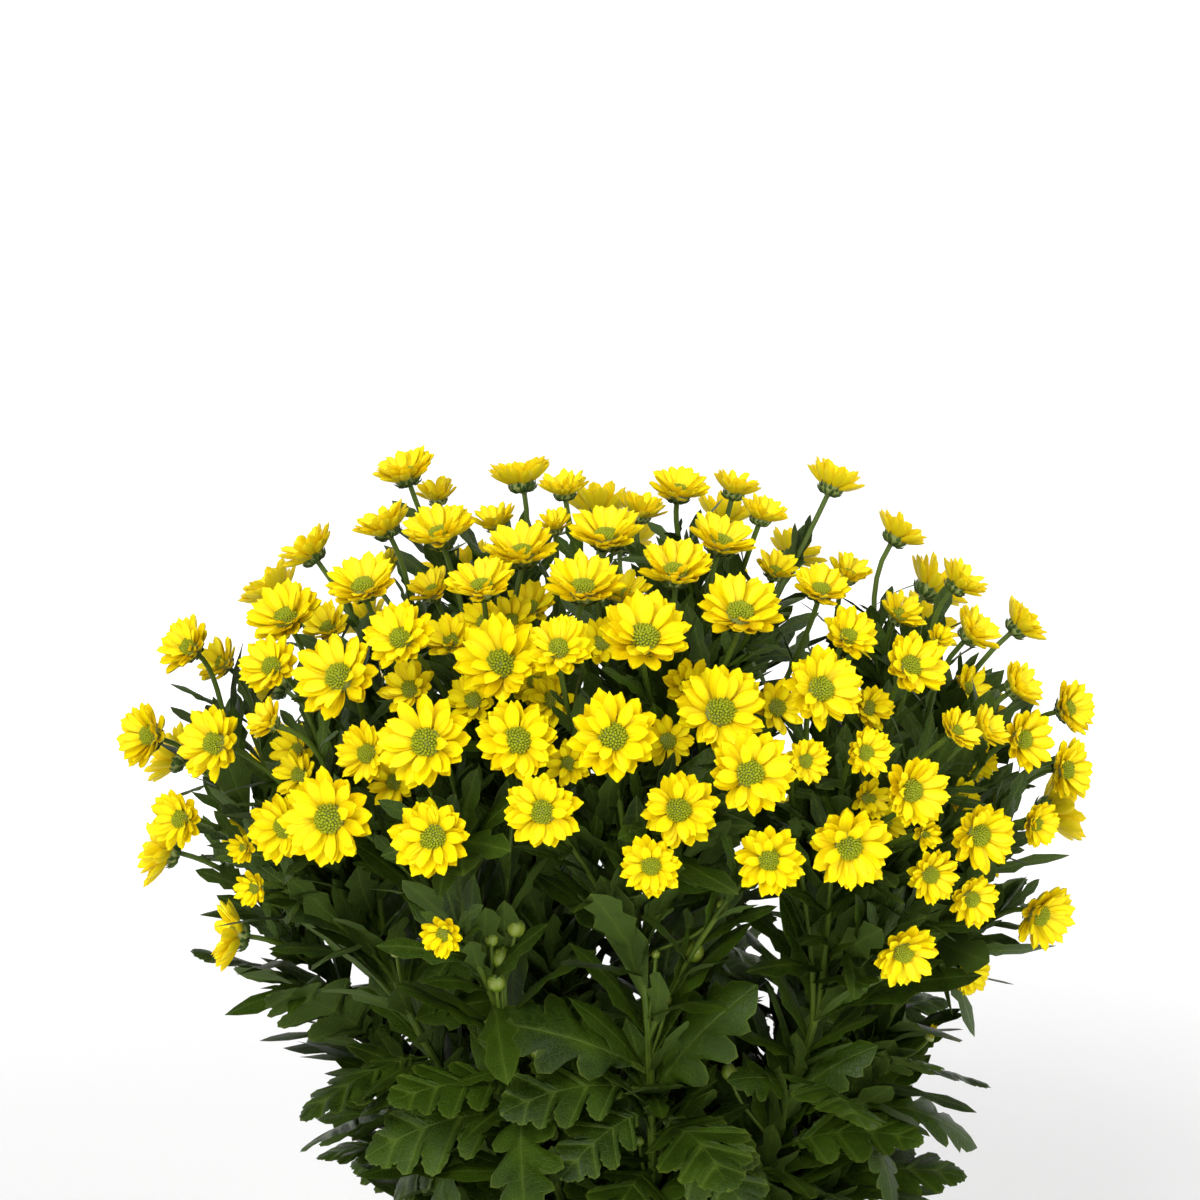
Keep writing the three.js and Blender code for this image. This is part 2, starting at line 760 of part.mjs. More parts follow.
// Whether a leaf has room. If it has, the next ones keep clear of it.
function keepClear(leaf, owner, obstacles, room) {
  const samples = bladeSamples(leaf);
  const reach = leaf.root.distanceTo(leaf.tip);
  const near = obstacles.filter((one) => one.at.distanceTo(leaf.root) < (1 + leaf.arch) * reach + one.room);
  if (!isClear(samples, near, owner)) return false;
  samples.forEach(({ at, isFoot }) => obstacles.push({ at, room, owner, isFoot }));
  return true;
}

// Leaves: first those read in the photograph, then more drawn round each stem, wherever they are clear.
function growLeaves(stems) {
  const obstacles = obstaclesOf(stems, LEAF);
  for (const stem of stems) stem.leaves = [];
  for (const [tipX, tipY, footX, footY] of PHOTO_LEAVES) {
    const tipRay = sightThrough(tipX, tipY);
    rootsNear(stems, sightThrough(footX, footY)).some(({ root, owner, depth }) =>
      LEAF.nearerTries.some((nearer) => {
        const tip = EYE.clone().addScaledVector(tipRay, depth - nearer);
        const length = root.distanceTo(tip);
        if (length < LEAF.shortestRead || length > LEAF.longestRead) return false;
        const leaf = { root, tip, arch: LEAF.arch };
        const kept = keepClear(leaf, owner, obstacles, LEAF.leafRoom);
        if (kept) stems[owner].leaves.push(leaf);
        return kept;
      }),
    );
  }
  stems.forEach((stem, owner) => {
    for (let i = 0; i < LEAF.tries; i++) {
      const draw = seededDraws(3000 + 100 * owner + i);
      const share = LEAF.lowest + ((LEAF.highest - LEAF.lowest) * (i + 0.5)) / LEAF.tries;
      const root = along(stem.foot, stem.top, share);
      const turn = Math.atan2(stem.direction.y, stem.direction.x) + draw(-1, 1) * LEAF.spread * DEGREE;
      const leaf = drawnLeaf(root, turn, LEAF, draw);
      leaf.arch *= LEAF.arch;
      if (keepClear(leaf, owner, obstacles, LEAF.leafRoom)) stem.leaves.push(leaf);
    }
  });
}

// Smaller leaves wherever there is still room, on all stems in turn.
function fillOut(stems) {
  const obstacles = obstaclesOf(stems, FILL);
  stems.forEach((stem, owner) => {
    stem.smallLeaves = [];
    for (const leaf of stem.leaves) {
      for (const { at, isFoot } of bladeSamples(leaf)) {
        obstacles.push({ at, room: FILL.leafRoom, owner, isFoot });
      }
    }
  });
  for (let i = 0; i < FILL.tries; i++) {
    stems.forEach((stem, owner) => {
      const draw = seededDraws(12000 + 400 * owner + i);
      const root = along(stem.foot, stem.top, draw(FILL.lowest, FILL.highest));
      const turn = Math.atan2(root.y - FAN.y, root.x - FAN.x) + draw(-1, 1) * FILL.spread * DEGREE;
      const leaf = drawnLeaf(root, turn, FILL, draw);
      if (keepClear(leaf, owner, obstacles, FILL.leafRoom)) stem.smallLeaves.push(leaf);
    });
  }
}

// A leaf from its root, turned about the upright, with its rise, length and arch drawn.
function drawnLeaf(root, turn, { mostDroop, leastDroop, shortest, longest, leastArch, mostArch }, draw) {
  const rise = draw(mostDroop, leastDroop) * DEGREE;
  const length = draw(shortest, longest);
  const tip = root.clone().add(faceDirection(rise, turn + Math.PI / 2).multiplyScalar(length));
  return { root, tip, arch: draw(leastArch, mostArch) };
}

// Points on the main stems, the one that a line of sight passes nearest to first.
function rootsNear(stems, ray) {
  const roots = [];
  stems.forEach((stem, owner) => {
    for (let step = 0; step <= LEAF.rootSteps; step++) {
      const share = LEAF.lowest + ((LEAF.highest - LEAF.lowest) * step) / LEAF.rootSteps;
      const root = along(stem.foot, stem.top, share);
      const out = root.clone().sub(EYE);
      const depth = out.dot(SIGHT);
      const beside = out.distanceTo(ray.clone().multiplyScalar(depth));
      const miss = beside + LEAF.frontFirst * (depth - VIEW.distance);
      roots.push({ root, owner, depth, miss });
    }
  });
  return roots.sort((a, b) => a.miss - b.miss).slice(0, LEAF.rootTries);
}

function potSolid() {
  const { height, rimRadius, rimHeight, rimStep, footRadius, wall, floor, bevel } = POT;
  const slope = (rimRadius - rimStep - footRadius) / height;
  const outerAt = (z) => footRadius + slope * z;
  const profile = [
    [0, 0],
    [footRadius - bevel, 0],
    [outerAt(bevel), bevel],
    [outerAt(height - rimHeight), height - rimHeight],
    [rimRadius - 1, height - rimHeight],
    [rimRadius, height - bevel],
    [rimRadius - bevel, height],
    [rimRadius - rimStep - wall + bevel, height],
    [outerAt(height - 2 * bevel) - wall, height - 2 * bevel],
    [outerAt(floor) - wall, floor],
    [0, floor],
  ].map(([radius, z]) => new THREE.Vector2(radius, z));
  const lathe = new THREE.LatheGeometry(profile, POT.sides).rotateX(Math.PI / 2);
  let pot = solidOf(lathe);
  for (let i = 0; i < POT.drainCount; i++) {
    const angle = (2 * Math.PI * i) / POT.drainCount + Math.PI / 2;
    const drill = new THREE.CylinderGeometry(POT.drainRadius, POT.drainRadius, 3 * floor, POT.drainSides)
      .rotateX(Math.PI / 2)
      .translate(POT.drainRing * Math.cos(angle), POT.drainRing * Math.sin(angle), floor / 2);
    pot = pot.subtract(solidOf(drill));
  }
  return pot;
}

function soilSolid(stems) {
  const { height, rimRadius, rimStep, footRadius, wall, floor } = POT;
  const slope = (rimRadius - rimStep - footRadius) / height;
  const fit = Math.cos(Math.PI / POT.sides);
  const radiusAt = (z) => (footRadius + slope * z - wall) * fit - SOIL.gap;
  const low = floor + SOIL.gap;
  const profile = [
    [0, low],
    [radiusAt(low), low],
    [radiusAt(SOIL_TOP), SOIL_TOP],
    [0, SOIL_TOP + SOIL.swell],
  ].map(([radius, z]) => new THREE.Vector2(radius, z));
  const ball = solidOf(new THREE.LatheGeometry(profile, SOIL.sides).rotateX(Math.PI / 2));
  return stems.reduce((soil, stem) => soil.subtract(stemHole(stem)), ball);
}

const heads = readHeads();
heads.push(...backHeads(heads));
const stems = mainStems(heads);
stems.forEach(growStalks);
clearStalks(stems);
growLeaves(stems);
fillOut(stems);

const plant = new THREE.Group();
plant.add(meshOf("pot", potSolid(), COLOURS.clay, 0.85));
plant.add(meshOf("soil_root_ball", soilSolid(stems), COLOURS.soil, 1));
stems.forEach((stem, index) => {
  const number = String(index + 1).padStart(2, "0");
  const leaves = [...stem.leaves.map(leafSolid), ...stem.smallLeaves.map(smallLeafSolid)];
  const flowers = stem.heads.map((head) => flower(head, heads.indexOf(head), head === stem.leader));
  const leafyStem = joined([stemSolid(stem, 0), ...leaves]);
  plant.add(meshOf(`spray_${number}_leafy_stem`, leafyStem, COLOURS.stem, 0.6));
  plant.add(meshOf(`spray_${number}_flowers`, joined(flowers), COLOURS.petal, 0.7));
});

export default plant;
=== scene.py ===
# Potted santini chrysanthemum: the fine petals, leaves, stems, soil and clay of the plant and its pot.
# The origin is the middle of the pot's underside, +Z is up and -Y faces the viewer.
# The layout is worked out in millimetres, by the rule that also placed the solids. Meshes are in metres.
import json
import math
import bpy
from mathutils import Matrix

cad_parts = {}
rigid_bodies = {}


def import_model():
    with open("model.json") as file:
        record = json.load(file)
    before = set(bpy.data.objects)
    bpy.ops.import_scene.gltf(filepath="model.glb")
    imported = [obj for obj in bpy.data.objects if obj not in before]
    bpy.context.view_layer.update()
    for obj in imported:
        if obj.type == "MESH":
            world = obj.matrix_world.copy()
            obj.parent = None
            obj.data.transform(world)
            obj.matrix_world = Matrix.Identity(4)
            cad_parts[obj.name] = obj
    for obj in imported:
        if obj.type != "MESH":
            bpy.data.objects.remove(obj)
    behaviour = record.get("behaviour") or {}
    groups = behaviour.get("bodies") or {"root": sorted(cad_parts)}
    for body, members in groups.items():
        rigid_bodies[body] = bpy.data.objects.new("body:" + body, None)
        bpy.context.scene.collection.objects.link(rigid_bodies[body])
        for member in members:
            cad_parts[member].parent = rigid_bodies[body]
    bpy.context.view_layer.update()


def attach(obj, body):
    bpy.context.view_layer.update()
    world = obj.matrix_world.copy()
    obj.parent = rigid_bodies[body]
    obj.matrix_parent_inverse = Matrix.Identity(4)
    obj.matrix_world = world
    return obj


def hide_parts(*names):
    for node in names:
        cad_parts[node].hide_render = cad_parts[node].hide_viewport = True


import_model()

from types import SimpleNamespace as Sizes

import bpy
import numpy as np
from mathutils import Matrix

MM = 0.001
UP = np.array([0.0, 0.0, 1.0])
GOLDEN = math.pi * (3 - math.sqrt(5))
FULL_TURN = 2 * math.pi
ABOUT_A_TURN = 6.28

# Where the seeds of each kind of thing that is drawn by rule start.
SEEDS = Sizes(
    back_head=500, leaf=3000, crowded_leaf=5000, head=9000, filling_leaf=12000, stalk_leaf=20000,
    back_bud=30000,
)

# The pot and its soil.
POT = Sizes(
    height=130, rim_radius=85, rim_height=26, rim_step=3.5, foot_radius=58, wall=5.5, floor=7,
    lip=2.2, foot_edge=1.8, step_edge=1.6, inner_edge=3, sides=120,
    drain_radius=5, drain_ring=28, drain_count=3,
)
SOIL = Sizes(below_rim=12, swell=4, gap=0.35, rings=22, sides=96, roughness=1.6, crumb=2.6, density=42000.0)
SOIL_TOP = POT.height - SOIL.below_rim

# The main stems fan out of one point under the soil.
FAN = np.array([10.0, 0.0, 30.0])
STEM = Sizes(
    count=16, settle_rounds=12, foot_depth=26, foot_radius=2.7, branch_share=0.6, seat=0.35, samples=25,
)

# The photograph's view: how far the eye looks down, and what one pixel covers at the plant.
VIEW = Sizes(
    dip=12, distance=1500, mm_per_pixel=0.42, middle_pixel=600, axis_pixel=640, middle_height=425, pixels=1200,
)

# The dome that the flower heads lie on, and the point that the outer heads turn away from.
DOME = Sizes(centre=np.array([-13.0, 0.0, 352.0]), reach=np.array([196.0, 168.0, 125.0]), back_height=112)
DEEP_SHARE = 0.83
FACE_FROM = np.array([-13.0, 0.0, 275.0])
SPREAD = Sizes(rounds=80, closeness=1.03, back_share=0.5, back_step=0.2, front_share=0.15)

# Flower heads as read in the photograph: x and y of the middle, and the width, in its pixels.
FACING = [
    [405, 470, 64], [439, 530, 74], [362, 583, 74], [284, 615, 76], [400, 637, 74], [186, 646, 64],
    [270, 665, 64], [337, 675, 87], [500, 662, 96], [145, 735, 69], [211, 743, 74], [424, 742, 94],
    [365, 753, 61], [517, 740, 87], [327, 819, 94], [178, 819, 60], [282, 828, 69], [432, 838, 83],
    [521, 549, 75], [606, 532, 75], [679, 487, 61], [676, 568, 79], [741, 609, 85], [481, 583, 71],
    [584, 584, 80], [559, 647, 68], [645, 634, 94], [722, 710, 92], [613, 736, 92], [542, 812, 75],
    [679, 810, 78], [751, 773, 86], [651, 866, 62], [770, 860, 71], [850, 848, 84], [1071, 709, 60],
    [1026, 739, 65], [1069, 770, 61], [1038, 824, 49], [1043, 917, 69], [970, 975, 44], [905, 955, 66],
    [973, 900, 55], [932, 876, 55], [981, 836, 72], [914, 791, 73], [867, 753, 52], [807, 761, 46],
    [823, 688, 80], [913, 665, 72], [850, 635, 59], [822, 587, 60],
]
AWAY = [
    [383, 524, 64], [308, 549, 65], [521, 476, 69], [564, 487, 55], [735, 487, 55], [763, 513, 54],
    [722, 538, 71], [834, 481, 64], [899, 532, 61], [961, 581, 60], [1022, 624, 61], [975, 631, 61],
    [1019, 686, 57], [267, 720, 50], [958, 730, 50], [987, 728, 52],
]
DEEP = [
    [437, 494, 50], [495, 520, 52], [327, 626, 55], [220, 661, 54], [450, 640, 60], [409, 688, 61],
    [472, 700, 60], [295, 750, 54], [297, 775, 54], [393, 782, 54], [641, 509, 60], [622, 592, 60],
    [531, 606, 55], [601, 642, 55], [689, 686, 60], [668, 741, 54], [551, 700, 58], [567, 764, 54],
    [535, 682, 60], [431, 589, 55], [484, 621, 55], [511, 619, 54], [870, 799, 50], [886, 823, 50],
    [778, 707, 60], [870, 708, 54], [776, 569, 50], [849, 572, 52], [901, 613, 54], [970, 688, 48],
    [977, 761, 46], [961, 799, 46],
]
HALF_OPEN = [
    [243, 848, 38], [253, 888, 45], [443, 935, 52], [555, 524, 42], [926, 834, 38], [939, 638, 34],
]

# How far a facing head looks up, in degrees, by its height in the photograph in pixels.
LIFT_AT = [[440, 76], [530, 70], [585, 64], [610, 54], [637, 38], [700, 26], [760, 16], [860, 6], [960, -6]]
FACING_TURN_SHARE = 0.5
AIM_WOBBLE = math.radians(7)
HEAD_RISE = 0.5

# The heads round the back, where the photograph doesn't reach.
BACK = Sizes(
    tries=260, spacing=41, width=33, widths=[0.82, 1.08], lowest=-0.55, nearest=-60,
    deep_share=0.88, deep_chance=0.3,
)

# A stalk leaves its stem and comes to its head over a share of its length. It bends clear where the shares say.
STALK = Sizes(
    clearance=3, rounds=30, first_fork=0.06, fork_span=0.56, lean=0.65, leaving=0.4, coming=0.26, steps=10,
    shares=[0.15, 0.3, 0.45, 0.6, 0.75, 0.88], push=0.5, head_share=0.8,
)

# Leaves that the solids have too.
LEAF = Sizes(
    fold=0.16, arch=0.2, look_out=0.9, most_droop=-52, least_droop=6, spread=100, foot_share=0.3, tries=60,
    lowest=0.24, highest=0.94, shortest=52, longest=84,
    stem_room=7.5, stalk_room=8.5, leaf_room=8.5, pot_room=4,
    nearer_tries=[25, 10, 40, -5, 55, -20, 70, -40], root_steps=24, root_tries=110, front_first=0.12,
    shortest_read=42, longest_read=95, arches=[0.7, 1.5], columns=7,
)
CROWDED_ROOM = Sizes(stem=2, stalk=1, head=1, leaf=1)

# Where a blade is tried for room: shares of its rib, and how far out to both sides, in shares of its length.
LEAF_SAMPLES = [
    [0.1, [0]], [0.2, [0]], [0.3, [0, 0.1]], [0.4, [0, 0.13, 0.26]], [0.5, [0, 0.13, 0.22]],
    [0.6, [0, 0.13, 0.26]], [0.7, [0, 0.14, 0.29]], [0.8, [0, 0.13]], [0.9, [0]], [1, [0]],
]

# Leaves as read in the photograph, in its pixels: x and y of the tip, then of the foot.
PHOTO_LEAVES = [
    [190, 951, 330, 950], [267, 995, 340, 955], [308, 1039, 400, 1015], [278, 921, 420, 900],
    [300, 1121, 425, 1066], [429, 1140, 470, 1050], [405, 1040, 500, 1050], [500, 1115, 620, 1100],
    [635, 1075, 650, 1000], [943, 1069, 850, 1075], [924, 1143, 740, 1145], [812, 1199, 725, 1162],
    [1028, 879, 930, 900], [861, 938, 775, 925], [850, 990, 743, 1035], [560, 1180, 610, 1120],
]

# A leaf's half outline, as shares of its length: where its vein leaves the rib, and how far along and out it
# lies. The last number tells a vein's end from the blade between veins.
LEAF_OUTLINE = [
    [0.00, 0.00, 0.014, 0], [0.13, 0.13, 0.014, 0], [0.155, 0.18, 0.045, 0], [0.175, 0.22, 0.085, 1],
    [0.19, 0.245, 0.060, 0], [0.205, 0.265, 0.090, 0], [0.22, 0.30, 0.155, 0], [0.235, 0.345, 0.210, 0],
    [0.25, 0.40, 0.235, 1], [0.27, 0.435, 0.220, 0], [0.29, 0.460, 0.180, 0], [0.31, 0.455, 0.130, 0],
    [0.34, 0.450, 0.085, 0], [0.37, 0.490, 0.105, 0], [0.39, 0.535, 0.180, 0], [0.41, 0.585, 0.235, 0],
    [0.435, 0.645, 0.262, 1], [0.46, 0.685, 0.250, 0], [0.49, 0.705, 0.205, 0], [0.52, 0.695, 0.150, 0],
    [0.55, 0.680, 0.105, 0], [0.59, 0.720, 0.130, 0], [0.62, 0.765, 0.185, 0], [0.65, 0.815, 0.205, 1],
    [0.69, 0.845, 0.175, 0], [0.73, 0.840, 0.120, 0], [0.77, 0.870, 0.120, 0], [0.82, 0.910, 0.125, 1],
    [0.87, 0.935, 0.085, 0], [0.92, 0.965, 0.065, 0], [0.96, 0.985, 0.035, 0], [1.00, 1.000, 0.000, 1],
]
# How far a tooth between two points stands out of a large leaf's outline.
TOOTH = 0.014
SIMPLE_OUTLINE = [
    [0.00, 0.00, 0.016, 0], [0.13, 0.13, 0.020, 0], [0.17, 0.21, 0.075, 0], [0.20, 0.26, 0.080, 0],
    [0.22, 0.30, 0.165, 0], [0.25, 0.37, 0.225, 0], [0.27, 0.43, 0.205, 0], [0.30, 0.46, 0.145, 0],
    [0.34, 0.46, 0.090, 0], [0.38, 0.52, 0.150, 0], [0.41, 0.59, 0.240, 0], [0.44, 0.67, 0.255, 0],
    [0.48, 0.70, 0.195, 0], [0.54, 0.69, 0.110, 0], [0.60, 0.76, 0.175, 0], [0.65, 0.82, 0.190, 0],
    [0.71, 0.84, 0.125, 0], [0.80, 0.90, 0.120, 0], [0.90, 0.955, 0.065, 0], [1.00, 1.00, 0.000, 0],
]
NARROW_OUTLINE = [
    [0.00, 0.00, 0.020, 0], [0.24, 0.30, 0.095, 0], [0.38, 0.45, 0.145, 0], [0.50, 0.56, 0.085, 0],
    [0.66, 0.74, 0.125, 0], [0.84, 0.90, 0.070, 0], [1.00, 1.00, 0.000, 0],
]

# Leaves that fill the bush out, beyond those of the solids.
FILL = Sizes(
    tries=80, lowest=0.2, highest=0.97, shortest=30, longest=74, most_droop=-62, least_droop=52, spread=165,
    stem_room=4.5, stalk_room=5, leaf_room=5.5, head_room=4, arch=[0.1, 0.34],
)

# Green buds as read in the photograph: x, y and width in its pixels. Those that open show yellow.
BUDS = [
    [501, 957, 23, 0], [496, 982, 20, 0], [516, 928, 20, 0], [491, 939, 16, 0], [538, 1051, 18, 0],
    [552, 1134, 16, 0], [604, 1152, 18, 0], [639, 1141, 12, 0], [666, 1000, 14, 0], [656, 954, 10, 0],
    [694, 952, 22, 0], [729, 1072, 18, 0], [808, 1093, 18, 0], [804, 896, 14, 0], [722, 905, 12, 0],
    [396, 947, 21, 1], [462, 898, 20, 1], [932, 1033, 18, 1],
]


class Draws:
    """Numbers in a range, always the same for one seed."""

    SPAN = 4294967296

    def __init__(self, seed):
        self.state = (seed * 2654435761) % self.SPAN

    def __call__(self, low, high):
        self.state = (self.state * 1664525 + 1013904223) % self.SPAN
        return low + (high - low) * self.state / self.SPAN


class Curve:
    """A Bézier curve of any number of points."""

    STEP = 0.0001

    def __init__(self, *points):
        self.points = [np.array(point, float) for point in points]

    def at(self, share):
        points = self.points
        while len(points) > 1:
            points = [a + (b - a) * share for a, b in zip(points, points[1:])]
        return points[0]

    def tangent(self, share):
        return unit(self.at(min(1, share + self.STEP)) - self.at(max(0, share - self.STEP)))


def unit(vector):
    return vector / np.linalg.norm(vector)


def square_to(axis, direction):
    """The part of a direction that is square to an axis, at length one."""
    return unit(direction - axis * np.dot(direction, axis))


def side_of(axis):
    return square_to(axis, UP if abs(axis[2]) < 0.9 else np.array([1.0, 0.0, 0.0]))


def face_direction(lift, turn):
    """The direction that a head looks in, from its lift and its turn from the viewer to the right."""
    return np.array([math.sin(turn) * math.cos(lift), -math.cos(turn) * math.cos(lift), math.sin(lift)])


# The eye, and the line of sight through a pixel of the photograph.
DIP = math.radians(VIEW.dip)
SIGHT = np.array([0, math.cos(DIP), -math.sin(DIP)])
SIGHT_UP = np.array([0, math.sin(DIP), math.cos(DIP)])
AIM = np.array([(VIEW.middle_pixel - VIEW.axis_pixel) * VIEW.mm_per_pixel, 0, VIEW.middle_height])
EYE = AIM - VIEW.distance * SIGHT


def sight_through(x, y):
    per_pixel = VIEW.mm_per_pixel / VIEW.distance
    right = np.array([(x - VIEW.middle_pixel) * per_pixel, 0, 0])
    return SIGHT + right + SIGHT_UP * ((VIEW.middle_pixel - y) * per_pixel)


def stem_at(stem, share):
    """The point at a share of the way up a main stem."""
    return stem.foot + (stem.top - stem.foot) * share


def near_side_of_dome(ray, share):
    """How far along a line of sight the dome lies. Past the dome's edge, where the line is nearest to it."""
    start = (EYE - DOME.centre) / DOME.reach / share
    step = ray / DOME.reach / share
    a, b, c = step @ step, start @ step, start @ start - 1
    return (-b - math.sqrt(max(0, b * b - a * c))) / a


def far_side_of_dome(origin, direction):
    start = (origin - DOME.centre) / DOME.reach
    step = direction / DOME.reach
    a, b, c = step @ step, start @ step, start @ start - 1
    return (-b + math.sqrt(b * b - a * c)) / a


def read_heads():
    """The heads of the photograph, each on its line of sight and facing as its place in the dome tells."""
    heads = []
    for kind, read, share in (
        ("facing", FACING, 1), ("away", AWAY, 1), ("deep", DEEP, DEEP_SHARE), ("half", HALF_OPEN, 1),
    ):
        for x, y, width in read:
            ray = sight_through(x, y)
            depth = near_side_of_dome(ray, share)
            heads.append(Sizes(kind=kind, ray=tuple(ray), depth=depth, pixel_width=width, pixel_y=y))
    spread_in_depth(heads)
    for index, head in enumerate(heads):
        head.centre = np.array(head.centre)
        aim_head(head, index)
    return heads


def place_at_depth(head):
    """A head's middle and radius follow from how far along its line of sight it lies."""
    head.centre = tuple(eye + step * head.depth for eye, step in zip(EYE, head.ray))
    head.radius = head.pixel_width * VIEW.mm_per_pixel * head.depth / VIEW.distance / 2


def spread_in_depth(heads):
    """Heads that overlap in the photograph lie one behind the other."""
    for head in heads:
        place_at_depth(head)
    for _ in range(SPREAD.rounds):
        for i, a in enumerate(heads):
            for b in heads[i + 1:]:
                short = SPREAD.closeness * (a.radius + b.radius) - math.dist(a.centre, b.centre)
                if short <= 0:
                    continue
                back, front = (a, b) if a.depth > b.depth else (b, a)
                back.depth += SPREAD.back_share * short + SPREAD.back_step
                front.depth -= SPREAD.front_share * short
                place_at_depth(a)
                place_at_depth(b)


def aim_head(head, index):
    draw = Draws(index + 1)
    out = head.centre - FACE_FROM
    turn = math.atan2(out[0], -out[1])
    lift = math.atan2(out[2], math.hypot(out[0], out[1]))
    if head.kind not in ("away", "back"):
        heights, lifts = zip(*LIFT_AT)
        lift = math.radians(np.interp(head.pixel_y, heights, lifts))
        turn *= FACING_TURN_SHARE
    lift += draw(-AIM_WOBBLE, AIM_WOBBLE)
    turn += draw(-AIM_WOBBLE, AIM_WOBBLE)
    head.face = face_direction(lift, turn)
    head.base = head.centre - head.face * (HEAD_RISE * head.radius)


def back_heads(front):
    """Heads round the back, on a spiral over the dome, wherever there is room."""
    heads = []
    for i in range(BACK.tries):
        draw = Draws(SEEDS.back_head + i)
        up = 1 - (1 - BACK.lowest) * (i + 0.5) / BACK.tries
        ring = math.sqrt(1 - up * up)
        share = BACK.deep_share if draw(0, 1) < BACK.deep_chance else 1
        out = np.array([
            DOME.reach[0] * ring * math.cos(i * GOLDEN),
            DOME.reach[1] * ring * math.sin(i * GOLDEN),
            DOME.back_height * up,
        ])
        centre = DOME.centre + out * share
        if centre[1] < BACK.nearest:
            continue
        if any(math.dist(other.centre, centre) < BACK.spacing for other in front + heads):
            continue
        head = Sizes(kind="back", centre=centre, radius=BACK.width / 2 * draw(*BACK.widths))
        aim_head(head, SEEDS.back_head + i)
        heads.append(head)
    return heads


def main_stems(heads):
    """Each stem runs straight from its foot in the soil to where its flower stalks start.
    Their directions settle under the middle of the heads that are nearest to them."""
    for head in heads:
        head.direction = unit(head.base - FAN)
    directions = [UP]
    while len(directions) < STEM.count:
        lonely = min(heads, key=lambda head: max(direction @ head.direction for direction in directions))
        directions.append(lonely.direction)
    for _ in range(STEM.settle_rounds):
        stems = [Sizes(direction=direction, heads=[]) for direction in directions]
        for head in heads:
            max(stems, key=lambda stem: stem.direction @ head.direction).heads.append(head)
        directions = [unit(sum(head.direction for head in stem.heads)) for stem in stems]
    for stem in stems:
        slope = stem.direction / stem.direction[2]
        stem.foot = FAN + slope * (SOIL_TOP - STEM.foot_depth - FAN[2])
        stem.top = FAN + stem.direction * (STEM.branch_share * far_side_of_dome(FAN, stem.direction))
    return stems


def grow_stalks(stem):
    """A stem's axis runs on to its most central head, and the other stalks leave it on the way."""
    stem.heads.sort(key=lambda head: math.acos(min(1, stem.direction @ head.direction)))
    leader, *others = stem.heads
    leader.stalk = stalk_curve(stem.top + stem.direction * STEM.seat, stem.direction, leader)
    for index, head in enumerate(others):
        head.root_share = STALK.first_fork + STALK.fork_span * (1 - (index + 1) / len(others))
        root = leader.stalk.at(head.root_share)
        tangent = leader.stalk.tangent(head.root_share)
        leave = unit(tangent + (unit(head.base - root) - tangent) * STALK.lean)
        head.stalk = stalk_curve(root, leave, head)


def stalk_curve(root, leave, head):
    length = math.dist(root, head.base)
    handles = root + leave * (STALK.leaving * length), head.base - head.face * (STALK.coming * length)
    return Curve(root, *handles, head.base)


def clear_stalks(stems):
    """Stalks bend clear of the heads that they would pass through, and of the stalks of other stems."""
    heads = [head for stem in stems for head in stem.heads]
    owners = np.array([owner for owner, stem in enumerate(stems) for _ in stem.heads])
    centres = np.array([head.centre for head in heads])
    head_rooms = np.array([STALK.head_share * head.radius + STALK.clearance for head in heads])
    same_head = np.eye(len(heads), dtype=bool)
    same_stem = owners[:, None] == owners[None]
    for _ in range(STALK.rounds):
        samples = np.array([[head.stalk.at(share) for share in STALK.shares] for head in heads])
        for i, head in enumerate(heads):
            for k, share in enumerate(STALK.shares):
                point = samples[i, k]
                push = pushes(point, centres[~same_head[i]], head_rooms[~same_head[i]])
                push = push + pushes(point, samples[~same_stem[i]].reshape(-1, 3), 2 * STALK.clearance)
                head.stalk.points[1 if share < 0.5 else 2] += STALK.push * push
        for stem in stems:
            leader, *others = stem.heads
            for head in others:
                head.stalk.points[0] = leader.stalk.at(head.root_share)


def pushes(point, others, rooms):
    """How far a point is pushed by others that lie nearer than the room they need."""
    away = point - others
    apart = np.maximum(np.linalg.norm(away, axis=1), 1e-12)
    share = np.maximum(rooms - apart, 0) / apart
    return share @ away


class Obstacles:
    """Points that a new leaf keeps clear of, each with the room it needs and the stem it belongs to."""

    def __init__(self):
        self.at = np.zeros((0, 3))
        self.room = np.zeros(0)
        self.owner = np.zeros(0, int)
        self.foot = np.zeros(0, bool)

    def add(self, points, room, owner, foot):
        count = len(points)
        self.at = np.concatenate([self.at, points])
        self.room = np.concatenate([self.room, np.broadcast_to(room, count)])
        self.owner = np.concatenate([self.owner, np.broadcast_to(owner, count)])
        self.foot = np.concatenate([self.foot, np.broadcast_to(foot, count)])

    def leave_clear(self, points, feet, owner):
        """Whether a leaf's points have the room that the others need. Its foot may touch its own stem."""
        out = np.hypot(points[:, 0], points[:, 1])
        floor = np.where(out < POT.rim_radius + LEAF.pot_room, POT.height + LEAF.pot_room, LEAF.pot_room)
        if (points[:, 2] < floor).any():
            return False
        most = self.room.max()
        near = ((self.at > points.min(0) - most) & (self.at < points.max(0) + most)).all(1)
        apart = np.linalg.norm(points[:, None] - self.at[near][None], axis=2)
        joined = (self.owner[near] == owner)[None] & (feet[:, None] | self.foot[near][None])
        return bool((joined | (apart > self.room[near])).all())


def obstacles_of(stems, stem_room, stalk_room, head_room):
    obstacles = Obstacles()
    for owner, stem in enumerate(stems):
        obstacles.add(stem_at(stem, np.linspace(0, 1, STEM.samples)[:, None]), stem_room, owner, True)
        for head in stem.heads:
            points = np.array([head.stalk.at(step / STALK.steps) for step in range(STALK.steps + 1)])
            obstacles.add(points, stalk_room, -1, False)
            obstacles.add(head.centre[None], head.radius + head_room, -1, False)
    return obstacles


